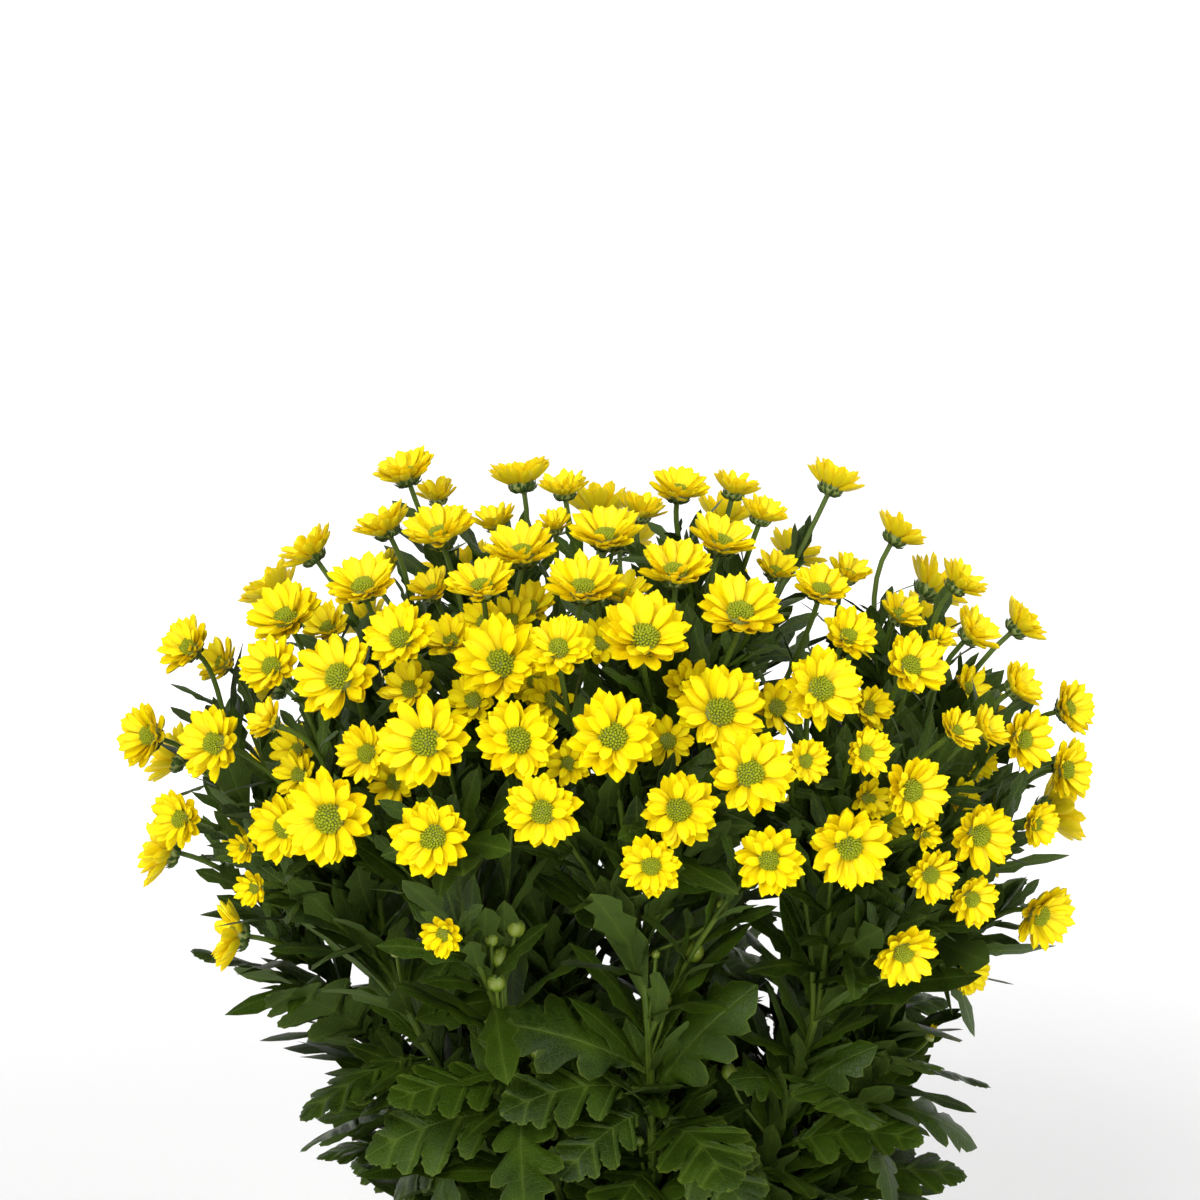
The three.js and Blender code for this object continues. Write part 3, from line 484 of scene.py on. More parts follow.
def leaf_frames(leaf):
    """A leaf's rib as an arch from root to tip, and the frame of its blade at a share of the rib."""
    length = math.dist(leaf.root, leaf.tip)
    middle = (leaf.root + leaf.tip) / 2 + UP * (leaf.arch * length)
    rib = Curve(leaf.root, middle, leaf.tip)

    def frame_at(share):
        forward = rib.tangent(share)
        side = unit(np.cross(forward, leaf.looking))
        return rib.at(share), side, np.cross(side, forward)

    return length, frame_at


def outward_look(root):
    """A leaf's blade looks up and a little outwards, away from the middle of the plant."""
    return UP + unit(np.array([root[0], root[1], 0])) * LEAF.look_out


def blade_samples(leaf):
    length, frame_at = leaf_frames(leaf)
    points, feet = [], []
    for share, widths in LEAF_SAMPLES:
        at, side, _ = frame_at(share)
        for width in widths + [-width for width in widths[1:]]:
            points.append(at + side * (width * length))
            feet.append(share < LEAF.foot_share)
    return np.array(points), np.array(feet)


def keep_clear(leaf, owner, obstacles, room):
    """Whether a leaf has room. If it has, the next ones keep clear of it."""
    points, feet = blade_samples(leaf)
    if not obstacles.leave_clear(points, feet, owner):
        return False
    obstacles.add(points, room, owner, feet)
    return True


def grow_leaves(stems):
    """The leaves of the solids: those read in the photograph, then more drawn round each stem."""
    obstacles = obstacles_of(stems, LEAF.stem_room, LEAF.stalk_room, LEAF.stalk_room)
    crowded = []
    for stem in stems:
        stem.leaves = []
    for tip_x, tip_y, foot_x, foot_y in PHOTO_LEAVES:
        leaf, owner = place_read_leaf(stems, (tip_x, tip_y), (foot_x, foot_y), obstacles, LEAF.leaf_room)
        if leaf:
            stems[owner].leaves.append(leaf)
        else:
            crowded.append([tip_x, tip_y, foot_x, foot_y])
    for owner, stem in enumerate(stems):
        for i in range(LEAF.tries):
            draw = Draws(SEEDS.leaf + 100 * owner + i)
            share = LEAF.lowest + (LEAF.highest - LEAF.lowest) * (i + 0.5) / LEAF.tries
            root = stem_at(stem, share)
            turn = math.atan2(stem.direction[1], stem.direction[0]) + draw(-1, 1) * math.radians(LEAF.spread)
            rise = math.radians(draw(LEAF.most_droop, LEAF.least_droop))
            length = draw(LEAF.shortest, LEAF.longest)
            tip = root + face_direction(rise, turn + math.pi / 2) * length
            arch = LEAF.arch * draw(*LEAF.arches)
            leaf = Sizes(root=root, tip=tip, arch=arch, looking=outward_look(root))
            if keep_clear(leaf, owner, obstacles, LEAF.leaf_room):
                stem.leaves.append(leaf)
    return crowded


def crowded_leaves(stems, readings):
    """Read leaves that have too little room for the solids. Here they only keep off the stems and the heads."""
    room = CROWDED_ROOM
    obstacles = obstacles_of(stems, room.stem, room.stalk, room.head)
    found = [place_read_leaf(stems, read[:2], read[2:], obstacles, room.leaf)[0] for read in readings]
    return [leaf for leaf in found if leaf]


def place_read_leaf(stems, tip_pixel, foot_pixel, obstacles, room):
    tip_ray = sight_through(*tip_pixel)
    for root, owner, depth in roots_near(stems, sight_through(*foot_pixel)):
        for nearer in LEAF.nearer_tries:
            tip = EYE + tip_ray * (depth - nearer)
            if not LEAF.shortest_read <= math.dist(root, tip) <= LEAF.longest_read:
                continue
            leaf = Sizes(root=root, tip=tip, arch=LEAF.arch, looking=outward_look(root))
            if keep_clear(leaf, owner, obstacles, room):
                return leaf, owner
    return None, None


def roots_near(stems, ray):
    """Points on the main stems, first those that a line of sight passes nearest to, and front ones first."""
    roots = []
    for owner, stem in enumerate(stems):
        for step in range(LEAF.root_steps + 1):
            share = LEAF.lowest + (LEAF.highest - LEAF.lowest) * step / LEAF.root_steps
            root = stem_at(stem, share)
            depth = (root - EYE) @ SIGHT
            miss = math.dist(root - EYE, ray * depth) + LEAF.front_first * (depth - VIEW.distance)
            roots.append((miss, root, owner, depth))
    roots.sort(key=lambda found: found[0])
    return [found[1:] for found in roots[:LEAF.root_tries]]


class Link:
    """One output of a node. Arithmetic on it adds Math nodes to the same tree."""

    def __init__(self, maker, socket):
        self.maker = maker
        self.socket = socket

    def other(self, name):
        """Another output of the same node."""
        return Link(self.maker, self.socket.node.outputs[name])

    def __add__(self, value):
        return self.maker.math("ADD", self, value)

    def __sub__(self, value):
        return self.maker.math("SUBTRACT", self, value)

    def __rsub__(self, value):
        return self.maker.math("SUBTRACT", value, self)

    def __mul__(self, value):
        return self.maker.math("MULTIPLY", self, value)

    def __truediv__(self, value):
        return self.maker.math("DIVIDE", self, value)

    def __pow__(self, value):
        return self.maker.math("POWER", self, value)

    __radd__ = __add__
    __rmul__ = __mul__


class Maker:
    """Adds nodes to one tree."""

    def __init__(self, tree):
        self.tree = tree

    def add(self, kind, settings=None, sockets=None, out=0):
        """A node of a type: first its settings, then the values or links of its sockets."""
        node = self.tree.nodes.new(kind)
        for name, value in (settings or {}).items():
            setattr(node, name, value)
        for name, value in (sockets or {}).items():
            if isinstance(value, Link):
                self.tree.links.new(value.socket, node.inputs[name])
            else:
                node.inputs[name].default_value = value
        return Link(self, node.outputs[out]) if node.outputs else node

    def math(self, operation, *values):
        return self.add("ShaderNodeMath", {"operation": operation}, dict(enumerate(values)))

    def vector(self, operation, *values):
        return self.add("ShaderNodeVectorMath", {"operation": operation}, dict(enumerate(values)))

    def xyz(self, x, y, z):
        return self.add("ShaderNodeCombineXYZ", None, {"X": x, "Y": y, "Z": z})

    def parts(self, vector, out="X"):
        """One of a vector's three parts. The others are other outputs of the same node."""
        return self.add("ShaderNodeSeparateXYZ", None, {"Vector": vector}, out=out)

    def across_sheet(self):
        """How far across a sheet a place is, from 0 to 1. The output Y says how far along."""
        return self.parts(self.add("ShaderNodeUVMap", {"uv_map": "sheet"}))

    def sheet_edge(self):
        """0 in the middle of a sheet, 1 along its two sides."""
        return self.math("ABSOLUTE", self.across_sheet() * 2 - 1)

    def blend(self, share, first, second):
        """A colour between two."""
        return self.add("ShaderNodeMix", {"data_type": "RGBA"}, {0: share, 6: first, 7: second}, out=2)

    def bump(self, height, strength, distance):
        return self.add("ShaderNodeBump", None, {"Strength": strength, "Distance": distance, "Height": height})

    def between(self, value, low, high):
        """0 where a value is low, 1 where it is high, smooth on the way."""
        settings = {"interpolation_type": "SMOOTHSTEP"}
        return self.add("ShaderNodeMapRange", settings, {"Value": value, "From Min": low, "From Max": high})

    def noise(self, place, scale, detail=2.0, roughness=0.5):
        sockets = {"Vector": place, "Scale": scale, "Detail": detail, "Roughness": roughness}
        return self.add("ShaderNodeTexNoise", None, sockets)

    def shape_value(self, name):
        """A number that a mesh carries, for a material."""
        return self.add("ShaderNodeAttribute", {"attribute_name": name}, None, out="Fac")

    def held(self, name, kind="FLOAT"):
        """A number or turn that the points carry, for a geometry tree."""
        return self.add("GeometryNodeInputNamedAttribute", {"data_type": kind}, {"Name": name})

    def aim(self):
        return self.held("aim", "QUATERNION")

    def store(self, geometry, name, value, domain="POINT"):
        """Gives a geometry a named number."""
        settings = {"domain": domain, "data_type": "FLOAT"}
        sockets = {"Geometry": geometry, "Name": name, "Value": value}
        return self.add("GeometryNodeStoreNamedAttribute", settings, sockets)

    def random(self, low, high, seed):
        return self.add("FunctionNodeRandomValue", {"data_type": "FLOAT"}, {2: low, 3: high, 8: seed}, out=1)

    def pick(self, most, seed):
        return self.add("FunctionNodeRandomValue", {"data_type": "INT"}, {4: 0, 5: most, 8: seed}, out=2)


def colour(red, green, blue):
    """A colour as it looks on screen, from 0 to 255, as the linear one that a shader takes."""
    def linear(value):
        value /= 255
        return value / 12.92 if value <= 0.04045 else ((value + 0.055) / 1.055) ** 2.4
    return (linear(red), linear(green), linear(blue), 1.0)


def material(name, paint, **constants):
    """A material whose paint function gives its changing sockets. The others are set on the shader itself."""
    made = bpy.data.materials.new(name)
    made.use_nodes = True
    made.node_tree.nodes.clear()
    make = Maker(made.node_tree)
    place = make.add("ShaderNodeTexCoord", None, None, out="Object")
    sockets = dict(paint(make, place))
    sockets.update({socket.replace("_", " "): value for socket, value in constants.items()})
    shader = make.add("ShaderNodeBsdfPrincipled", None, sockets)
    make.add("ShaderNodeOutputMaterial", None, {"Surface": shader})
    return made


def paint_petal(make, place):
    """Lemon yellow straps with fine veins along them, golden towards the foot. Painted shade darkens their long
    edges, and their outside is a duller gold, partly its own colour and partly painted shade.
    """
    across = make.across_sheet()
    along = across.other("Y")
    tint = make.shape_value("tint")
    under = make.shape_value("underside")
    veins = make.math("SINE", across * 44 + make.noise(place, 160) * 3) * 0.5 + 0.5
    lemon = make.blend(tint, colour(255, 236, 0), colour(255, 246, 4))
    gold = make.blend(make.between(along, 0.4, 0.0) * 0.6, lemon, colour(236, 206, 2))
    veined = make.blend((1 - veins) * make.between(along, 1.0, 0.5) * 0.2, gold, colour(240, 206, 0))
    # Painted shade: each petal's long edges are darkened towards gold, standing for the shade in the creases
    # between petals.
    rim = make.math("ABSOLUTE", across * 2 - 1) ** 5.0
    painted_light_edges = make.blend(rim * 0.45, veined, colour(224, 168, 0))
    # The outside is duller and more golden. This is partly its own colour and partly painted shade for petals
    # that face away from the light.
    outside = make.blend(under * 0.5, painted_light_edges, colour(236, 200, 24))
    spots = make.between(make.noise(place, 900), 0.66, 0.8) * 0.1
    return {
        "Base Color": make.blend(spots, outside, colour(196, 148, 10)),
        "Roughness": 0.42 + make.noise(place, 300) * 0.2,
        "Normal": make.bump(veins * 0.6 + make.noise(place, 1200) * 0.4, 0.35, 0.00025),
    }


def paint_disc(make, place):
    """Tight green florets, paler and yellower towards the rim, dark between them."""
    rim = make.shape_value("rim")
    tint = make.shape_value("tint")
    green = make.blend(rim ** 3.0, colour(150, 162, 22), colour(150, 156, 10))
    varied = make.blend(tint * 0.35, green, colour(124, 136, 14))
    grain = make.noise(place, 1500, 3.0)
    return {
        "Base Color": make.blend(make.between(grain, 0.55, 0.75) * 0.25, varied, colour(176, 182, 40)),
        "Roughness": 0.5 + grain * 0.2,
        "Normal": make.bump(grain, 0.4, 0.0003),
    }


def paint_bract(make, place):
    """The dark green scales under a head, with pale thin edges."""
    edge = make.sheet_edge()
    tint = make.shape_value("tint")
    green = make.blend(tint, colour(46, 74, 24), colour(72, 100, 34))
    fine = make.noise(place, 900, 3.0)
    streaked = make.blend(make.between(fine, 0.4, 0.7) * 0.4, green, colour(34, 56, 18))
    return {
        "Base Color": make.blend(edge ** 6.0 * 0.7, streaked, colour(150, 160, 88)),
        "Roughness": 0.42 + fine * 0.2,
        "Normal": make.bump(fine, 0.3, 0.0002),
    }


def paint_bud(make, place):
    """Green scales closed over a bud, paler along their edges."""
    edge = make.sheet_edge()
    fine = make.noise(place, 700, 3.0)
    green = make.blend(make.shape_value("tint"), colour(66, 98, 16), colour(104, 132, 26))
    return {
        "Base Color": make.blend(edge ** 9.0 * 0.5, green, colour(150, 160, 60)),
        "Roughness": 0.26 + fine * 0.15,
        "Normal": make.bump(fine, 0.25, 0.0002),
    }


def paint_stem(make, place):
    """Ribbed green stems: paler on their ribs, with streaks along them and a few darker patches."""
    around = make.shape_value("around")
    ribs = make.math("COSINE", around * (FULL_TURN * TUBE.ribs)) * 0.5 + 0.5
    patches = make.noise(place, 45, 3.0)
    fine = make.noise(make.vector("MULTIPLY", place, (900, 900, 60)), 1.0, 3.0)
    green = make.blend(make.between(patches, 0.3, 0.7), colour(52, 74, 10), colour(76, 98, 18))
    ribbed = make.blend(ribs * 0.4, green, colour(104, 124, 36))
    return {
        "Base Color": make.blend(make.between(fine, 0.5, 0.75) * 0.35, ribbed, colour(44, 70, 26)),
        "Roughness": 0.42 + fine * 0.25,
        "Normal": make.bump(fine, 0.4, 0.0002),
    }


def paint_leaf(make, place):
    """Dark satin blades with pale veins, a painted highlight along their edges, and grey-green undersides."""
    edge = make.sheet_edge()
    vein = make.shape_value("vein") ** 9.0
    tint = make.shape_value("tint")
    under = make.shape_value("underside")
    cells = make.add("ShaderNodeTexVoronoi", {"feature": "DISTANCE_TO_EDGE"}, {"Vector": place, "Scale": 420.0})
    net = make.between(cells, 0.12, 0.0)
    patches = make.noise(place, 60, 4.0)
    dark = make.blend(tint, colour(22, 40, 0), colour(44, 66, 4))
    top = make.blend(make.between(patches, 0.35, 0.7) * 0.6, dark, colour(62, 86, 8))
    netted = make.blend(net * 0.12, top, colour(84, 108, 24))
    veined = make.blend(vein * 0.3, netted, colour(112, 136, 48))
    # Painted highlight: a pale line along each blade's edges.
    painted_light_edges = make.blend(edge ** 24.0 * 0.35, veined, colour(118, 136, 50))
    return {
        "Base Color": make.blend(under * 0.4, painted_light_edges, colour(74, 94, 34)),
        "Roughness": 0.38 + patches * 0.22 + under * 0.2,
        "Normal": make.bump(net * -0.35 - vein * 0.8 + patches * 0.3, 0.6, 0.0006),
    }


def paint_clay(make, place):
    """Fired clay: fine grain, faint rings from throwing, and pale bloom in patches."""
    height = make.parts(place, "Z")
    grain = make.noise(place, 1400, 4.0, 0.7)
    clouds = make.noise(place, 14, 5.0, 0.6)
    rings = make.math("SINE", height * 1500 + make.noise(place, 10) * 4) * 0.5 + 0.5
    base = make.blend(make.between(clouds, 0.3, 0.7), colour(156, 82, 52), colour(180, 104, 70))
    speckled = make.blend(make.between(grain, 0.6, 0.75) * 0.3, base, colour(120, 62, 38))
    bloom = make.between(make.noise(place, 32, 6.0, 0.65), 0.56, 0.72)
    return {
        "Base Color": make.blend(bloom * 0.35, speckled, colour(216, 182, 156)),
        "Roughness": 0.78 + grain * 0.18,
        "Normal": make.bump(grain * 0.5 + rings * 0.5, 0.3, 0.0005),
    }


def paint_soil(make, place):
    """Dark damp potting soil, with paler fibres and a few light grains."""
    clumps = make.noise(place, 140, 6.0, 0.7)
    grains = make.add("ShaderNodeTexVoronoi", None, {"Vector": place, "Scale": 520.0})
    dark = make.blend(make.between(clumps, 0.35, 0.65), colour(30, 21, 15), colour(66, 46, 32))
    light = make.between(make.noise(place, 330, 2.0), 0.7, 0.76)
    return {
        "Base Color": make.blend(light * 0.5, dark, colour(128, 104, 80)),
        "Roughness": 0.82 + clumps * 0.15,
        "Normal": make.bump(clumps * 0.7 + grains * 0.5, 0.8, 0.001),
    }


# How far from the plant the floor starts to glow and glows in full, in metres.
GLOW_FROM = (0.45, 1.7)


def paint_floor(make, place):
    """A pale seamless studio floor, which glows only away from the plant."""
    soft = make.noise(place, 2.0, 3.0)
    x = make.parts(place)
    y = x.other("Y")
    away = (x * x + y * y) ** 0.5
    return {
        "Base Color": make.blend(soft, colour(250, 250, 250), colour(254, 254, 254)),
        "Roughness": 0.7 + soft * 0.1,
        "Emission Color": make.between(away, *GLOW_FROM),
    }


def mesh_of(name, points, faces):
    """A mesh in metres of points in millimetres."""
    mesh = bpy.data.meshes.new(name)
    mesh.from_pydata((np.asarray(points) * MM).tolist(), [], faces)
    mesh.shade_smooth()
    return mesh


def carry(mesh, name, kind, domain, values):
    """Gives a mesh a named number, turn or flag for each of its points or faces."""
    made = mesh.attributes.new(name, kind, domain)
    made.data.foreach_set("value", np.asarray(values).ravel())


def thin_sheet(name, grid, thickness, normals=None, vein=None):
    """A closed thin sheet over a grid of points, with rows along it and columns across. Its two faces share one
    edge, and its map runs from 0 to 1 across and along."""
    rows, columns = grid.shape[:2]
    if normals is None:
        normals = np.cross(np.gradient(grid, axis=0), np.gradient(grid, axis=1))
        normals = normals / np.linalg.norm(normals, axis=2, keepdims=True)
    top = np.arange(rows * columns).reshape(rows, columns)
    under = top.copy()
    under[1:-1, 1:-1] = rows * columns + np.arange((rows - 2) * (columns - 2)).reshape(rows - 2, columns - 2)
    lowered = (grid - normals * np.broadcast_to(thickness, (rows, columns))[..., None])[1:-1, 1:-1]
    points = np.concatenate([grid.reshape(-1, 3), lowered.reshape(-1, 3)])
    faces = []
    places = []
    for i in range(rows - 1):
        for j in range(columns - 1):
            corners = [(i, j), (i + 1, j), (i + 1, j + 1), (i, j + 1)]
            faces.append([int(top[corner]) for corner in corners])
            faces.append([int(under[corner]) for corner in reversed(corners)])
            across_along = [(j / (columns - 1), i / (rows - 1)) for i, j in corners]
            places += across_along + across_along[::-1]
    mesh = mesh_of(name, points, faces)
    mesh.uv_layers.new(name="sheet").uv.foreach_set("vector", np.array(places).ravel())
    carry(mesh, "underside", "FLOAT", "FACE", np.arange(len(faces)) % 2)
    rim = np.ones((rows, columns), bool)
    rim[1:-1, 1:-1] = False
    on_rim = np.concatenate([rim.ravel(), np.zeros(lowered.shape[0] * lowered.shape[1], bool)])
    ends = np.array([edge.vertices[:] for edge in mesh.edges])
    carry(mesh, "sharp_edge", "BOOLEAN", "EDGE", on_rim[ends].all(1))
    if vein is not None:
        carry(mesh, "vein", "FLOAT", "POINT", np.concatenate([vein.ravel(), vein[1:-1, 1:-1].ravel()]))
    return mesh


# A head's layers, as shares of its radius: a petal's foot, the middle of its arch and its tip, as out and up.
OUTER = Sizes(foot=[0.26, 0.22], middle=[0.72, 0.34], tip=[1.06, 0.70], half_width=0.2, columns=5)
MIDDLE = Sizes(foot=[0.27, 0.29], middle=[0.64, 0.50], tip=[0.97, 0.84], half_width=0.19, columns=5)
INNER = Sizes(foot=[0.28, 0.38], middle=[0.52, 0.62], tip=[0.80, 0.88], half_width=0.16, columns=5)
BRACT = Sizes(foot=[0.08, 0.02], middle=[0.42, 0.02], tip=[0.47, 0.34], half_width=0.085, columns=3)
BUD_SCALE = Sizes(foot=[0.25, -0.9], middle=[1.5, -0.5], tip=[0.3, 0.98], half_width=0.42, columns=3)
PETAL_ROWS = [0.0, 0.36, 0.66, 0.88, 1.0]
SCALE_ROWS = [0.0, 0.35, 0.7, 1.0]
PETAL_THICKNESS = 0.016
SHAPES_EACH = 5
HEAD_UNIT = 1 / MM


def petal_shape(name, layer, seed, curl):
    """One petal of a head of radius 1: it widens to two thirds of its length and ends in a blunt point."""
    draw = Draws(seed)
    foot, middle, tip = (np.array([out, 0, up]) for out, up in (layer.foot, layer.middle, layer.tip))
    tip = tip + [draw(-0.05, 0.03), 0, draw(-curl, curl)]
    middle = middle + [0, 0, draw(-0.5, 0.5) * curl]
    spine = Curve(foot, middle, tip)
    bend = draw(-0.06, 0.06)
    twist = draw(-0.3, 0.3)
    cup = draw(0.2, 0.55)
    notch = draw(-0.03, 0.02)
    width = layer.half_width * draw(0.9, 1.1)
    shares = PETAL_ROWS if layer.columns == 5 else SCALE_ROWS
    grid = np.zeros((len(shares), layer.columns, 3))
    for i, share in enumerate(shares):
        half = width * petal_width(share)
        forward = spine.tangent(share)
        side = np.array([0, 1.0, 0])
        up = np.cross(forward, side)
        turn = twist * share
        side, up = side * math.cos(turn) + up * math.sin(turn), up * math.cos(turn) - side * math.sin(turn)
        for j in range(layer.columns):
            c = 2 * j / (layer.columns - 1) - 1
            back = (0.04 * c * c + notch * (1 - abs(c))) * (share > 0.95)
            ridge = 0.06 * math.cos(math.pi * 2 * c) * half
            at = spine.at(share) - forward * back + side * (c * half) + up * (cup * half * c * c + ridge)
            grid[i, j] = at + [0, bend * share * share, 0]
    return thin_sheet(name, grid * HEAD_UNIT, PETAL_THICKNESS * HEAD_UNIT)


def petal_width(share):
    """A petal's width along it: narrow at the foot, widest past the middle, and drawn in at the end."""
    rise = 0.42 + 0.58 * math.sin(min(1, share / 0.66) * math.pi / 2)
    fall = math.sqrt(max(0.06, 1 - (max(0.0, share - 0.62) / 0.385) ** 1.7))
    return rise * fall


def lathe(name, profile, sides, wobble=None):
    """A closed turned body from a profile of radius and height that starts and ends on the axis."""
    angles = FULL_TURN * np.arange(sides) / sides
    points = [[0, 0, profile[0][1]]]
    for radius, height in profile[1:-1]:
        points += [[radius * math.cos(angle), radius * math.sin(angle), height] for angle in angles]
    points.append([0, 0, profile[-1][1]])
    points = np.array(points, float)
    if wobble:
        points = wobble(points)
    faces = [[0, 1 + (k + 1) % sides, 1 + k] for k in range(sides)]
    for ring in range(len(profile) - 3):
        low, high = 1 + ring * sides, 1 + (ring + 1) * sides
        faces += [[low + k, low + (k + 1) % sides, high + (k + 1) % sides, high + k] for k in range(sides)]
    last = 1 + (len(profile) - 3) * sides
    faces += [[last + k, last + (k + 1) % sides, len(points) - 1] for k in range(sides)]
    return mesh_of(name, points, faces)


def scaled_lathe(name, profile, sides):
    return lathe(name, [[radius * HEAD_UNIT, height * HEAD_UNIT] for radius, height in profile], sides)


def floret_shape(name):
    return scaled_lathe(name, [[0, -0.03], [0.042, 0.0], [0.03, 0.055], [0, 0.065]], 4)


def core_shape(name):
    """The green cup under a head, with the dome that carries the florets."""
    profile = [
        [0, -0.03], [0.075, -0.02], [0.14, 0.02], [0.3, 0.08], [0.38, 0.17], [0.36, 0.26], [0.31, 0.36],
        [0.29, 0.43], [0.2, 0.475], [0.1, 0.5], [0, 0.505],
    ]
    return scaled_lathe(name, profile, 16)


def bud_core_shape(name):
    angles = np.linspace(-math.pi / 2, math.pi / 2, 9)
    profile = [[0.9 * math.cos(angle), 0.9 * math.sin(angle)] for angle in angles]
    profile[0][0] = profile[-1][0] = 0
    return scaled_lathe(name, profile, 12)


def leaf_grid(leaf, outline, columns, seed):
    """The grid of a lobed blade. Each row runs from the left edge over the rib to the right edge."""
    draw = Draws(seed)
    length, frame_at = leaf_frames(leaf)
    phase = [draw(0, ABOUT_A_TURN), draw(0, ABOUT_A_TURN)]
    wave = draw(0.008, 0.022) * length
    stretch = [draw(0.86, 1.12), draw(0.86, 1.12)]
    grid = np.zeros((len(outline), columns, 3))
    normals = np.zeros_like(grid)
    veins = np.zeros((len(outline), columns))
    for i, (foot, along, out, is_vein) in enumerate(outline):
        rib, _, rib_up = frame_at(foot)
        at, side, up = frame_at(along)
        for j in range(columns):
            c = 2 * j / (columns - 1) - 1
            half = 0 if c < 0 else 1
            width = max(out, 0.002) * length * stretch[half] if out > 0.02 else max(out, 0.002) * length
            edge = at + side * (math.copysign(width, c) if c else 0)
            share = abs(c)
            quilt = 0.012 * length * (1 - is_vein) * math.sin(math.pi * share) * (out > 0.03)
            ripple = wave * math.sin(9 * along + phase[half]) * share ** 2 * min(1, out / 0.1)
            sink = LEAF.fold * width * share
            grid[i, j] = rib + (edge - rib) * share + up * (quilt + ripple - sink)
            normals[i, j] = unit(rib_up * (1 - share) + up * share)
            veins[i, j] = max(is_vein, 1 - share * (columns - 1) / 2) if out > 0.02 else 1
    on_rib = np.maximum(0, 1 - 3 * np.abs(np.linspace(-1, 1, columns)))[None]
    thickness = 0.45 + 1.3 * on_rib * (1 - 0.6 * np.linspace(0, 1, len(outline))[:, None])
    return grid, normals, thickness * min(1, length / 60), veins


def scalloped(outline):
    """The outline with a rounded tooth between each two of its points past the leaf's own stalk."""
    rows = [outline[0]]
    for last, row in zip(outline, outline[1:]):
        foot, along, out, vein = ((a + b) / 2 for a, b in zip(last, row))
        step = [row[1] - last[1], row[2] - last[2]]
        tooth = min(TOOTH, 0.3 * math.hypot(*step)) * (out > 0.02) / math.hypot(*step)
        rows += [[foot, along - step[1] * tooth, max(0, out + step[0] * tooth), 1.5 * vein], row]
    return rows


def leaf_mesh(name, leaf, outline, columns, seed):
    # A blade's side runs to the left of its rib, so its columns are turned round to face up.
    grid, normals, thickness, veins = leaf_grid(leaf, outline, columns, seed)
    return thin_sheet(name, grid[:, ::-1], thickness, normals[:, ::-1], veins[:, ::-1])


def new_tree(name, **inputs):
    """A geometry tree with named inputs and one geometry out. Gives the tree, its maker and its input node."""
    tree = bpy.data.node_groups.new(name, "GeometryNodeTree")
    for socket, kind in inputs.items():
        tree.interface.new_socket(socket, in_out="INPUT", socket_type="NodeSocket" + kind)
    tree.interface.new_socket("geometry", in_out="OUTPUT", socket_type="NodeSocketGeometry")
    make = Maker(tree)
    return tree, make, make.add("NodeGroupInput")


def local_turn(make, x, y, z):
    """The points' own aim, turned further in its own frame."""
    turn = make.add("FunctionNodeEulerToRotation", None, {"Euler": make.xyz(x, y, z)})
    sockets = {"Rotation": make.aim(), "Rotate By": turn}
    return make.add("FunctionNodeRotateRotation", {"rotation_space": "LOCAL"}, sockets)


# Picks run over more than the shapes of any collection, and start again at its first.
PICK_MOST = 63


def placed(make, points, shapes, rotation, size, seed):
    """Shapes picked from a collection, one at each point, each with a tint of its own."""
    parts = make.add("GeometryNodeCollectionInfo", None, {
        "Collection": shapes, "Separate Children": True, "Reset Children": True,
    })
    copies = make.add("GeometryNodeInstanceOnPoints", None, {
        "Points": points, "Instance": parts, "Pick Instance": True, "Rotation": rotation, "Scale": size,
        "Instance Index": make.pick(PICK_MOST, seed),
    })
    return make.store(copies, "tint", make.random(0.0, 1.0, seed + 7), "INSTANCE")


# How much the shapes of a ring and the florets of a disc vary, and how a disc is filled.
WHORL_VARIES = Sizes(turn=0.22, sizes=(0.93, 1.05))
FLORET_VARIES = Sizes(tilt=0.75, sizes=(0.85, 1.2))
FLORETS = Sizes(number=72, radius=0.295, height=0.43, dome=0.075)


def copies_of_heads(make, given):
    """How many parts each head has, fewer where it is less full, and a point for each of them."""
    number = make.math("ROUND", given.other("number") * make.held("fullness"))
    sockets = {"Geometry": given.other("heads"), "Amount": number}
    return number, make.add("GeometryNodeDuplicateElements", {"domain": "POINT"}, sockets)


def whorl_tree():
    """A ring of shapes round each head's axis, each with its own small turn, lift and size."""
    tree, make, given = new_tree(
        "whorl", heads="Geometry", shapes="Collection", number="Int", lift="Float", spread="Float",
        size="Float", turn="Float", seed="Int",
    )
    number, copies = copies_of_heads(make, given)
    seed = given.other("seed")
    spread = given.other("spread")
    wobble = make.random(-WHORL_VARIES.turn, WHORL_VARIES.turn, seed)
    place = copies.other("Duplicate Index") + given.other("turn") + wobble
    turn = place * FULL_TURN / number + make.held("spin")
    lift = given.other("lift") + make.held("closing") + spread * make.random(-1.0, 1.0, seed + 1)
    roll = spread * make.random(-1.0, 1.0, seed + 2)
    size = make.held("size") * given.other("size") * make.random(*WHORL_VARIES.sizes, seed + 3)
    ring = placed(make, copies, given.other("shapes"), local_turn(make, roll, lift * -1, turn), size, seed + 4)
    make.add("NodeGroupOutput", None, {"geometry": ring})
    return tree


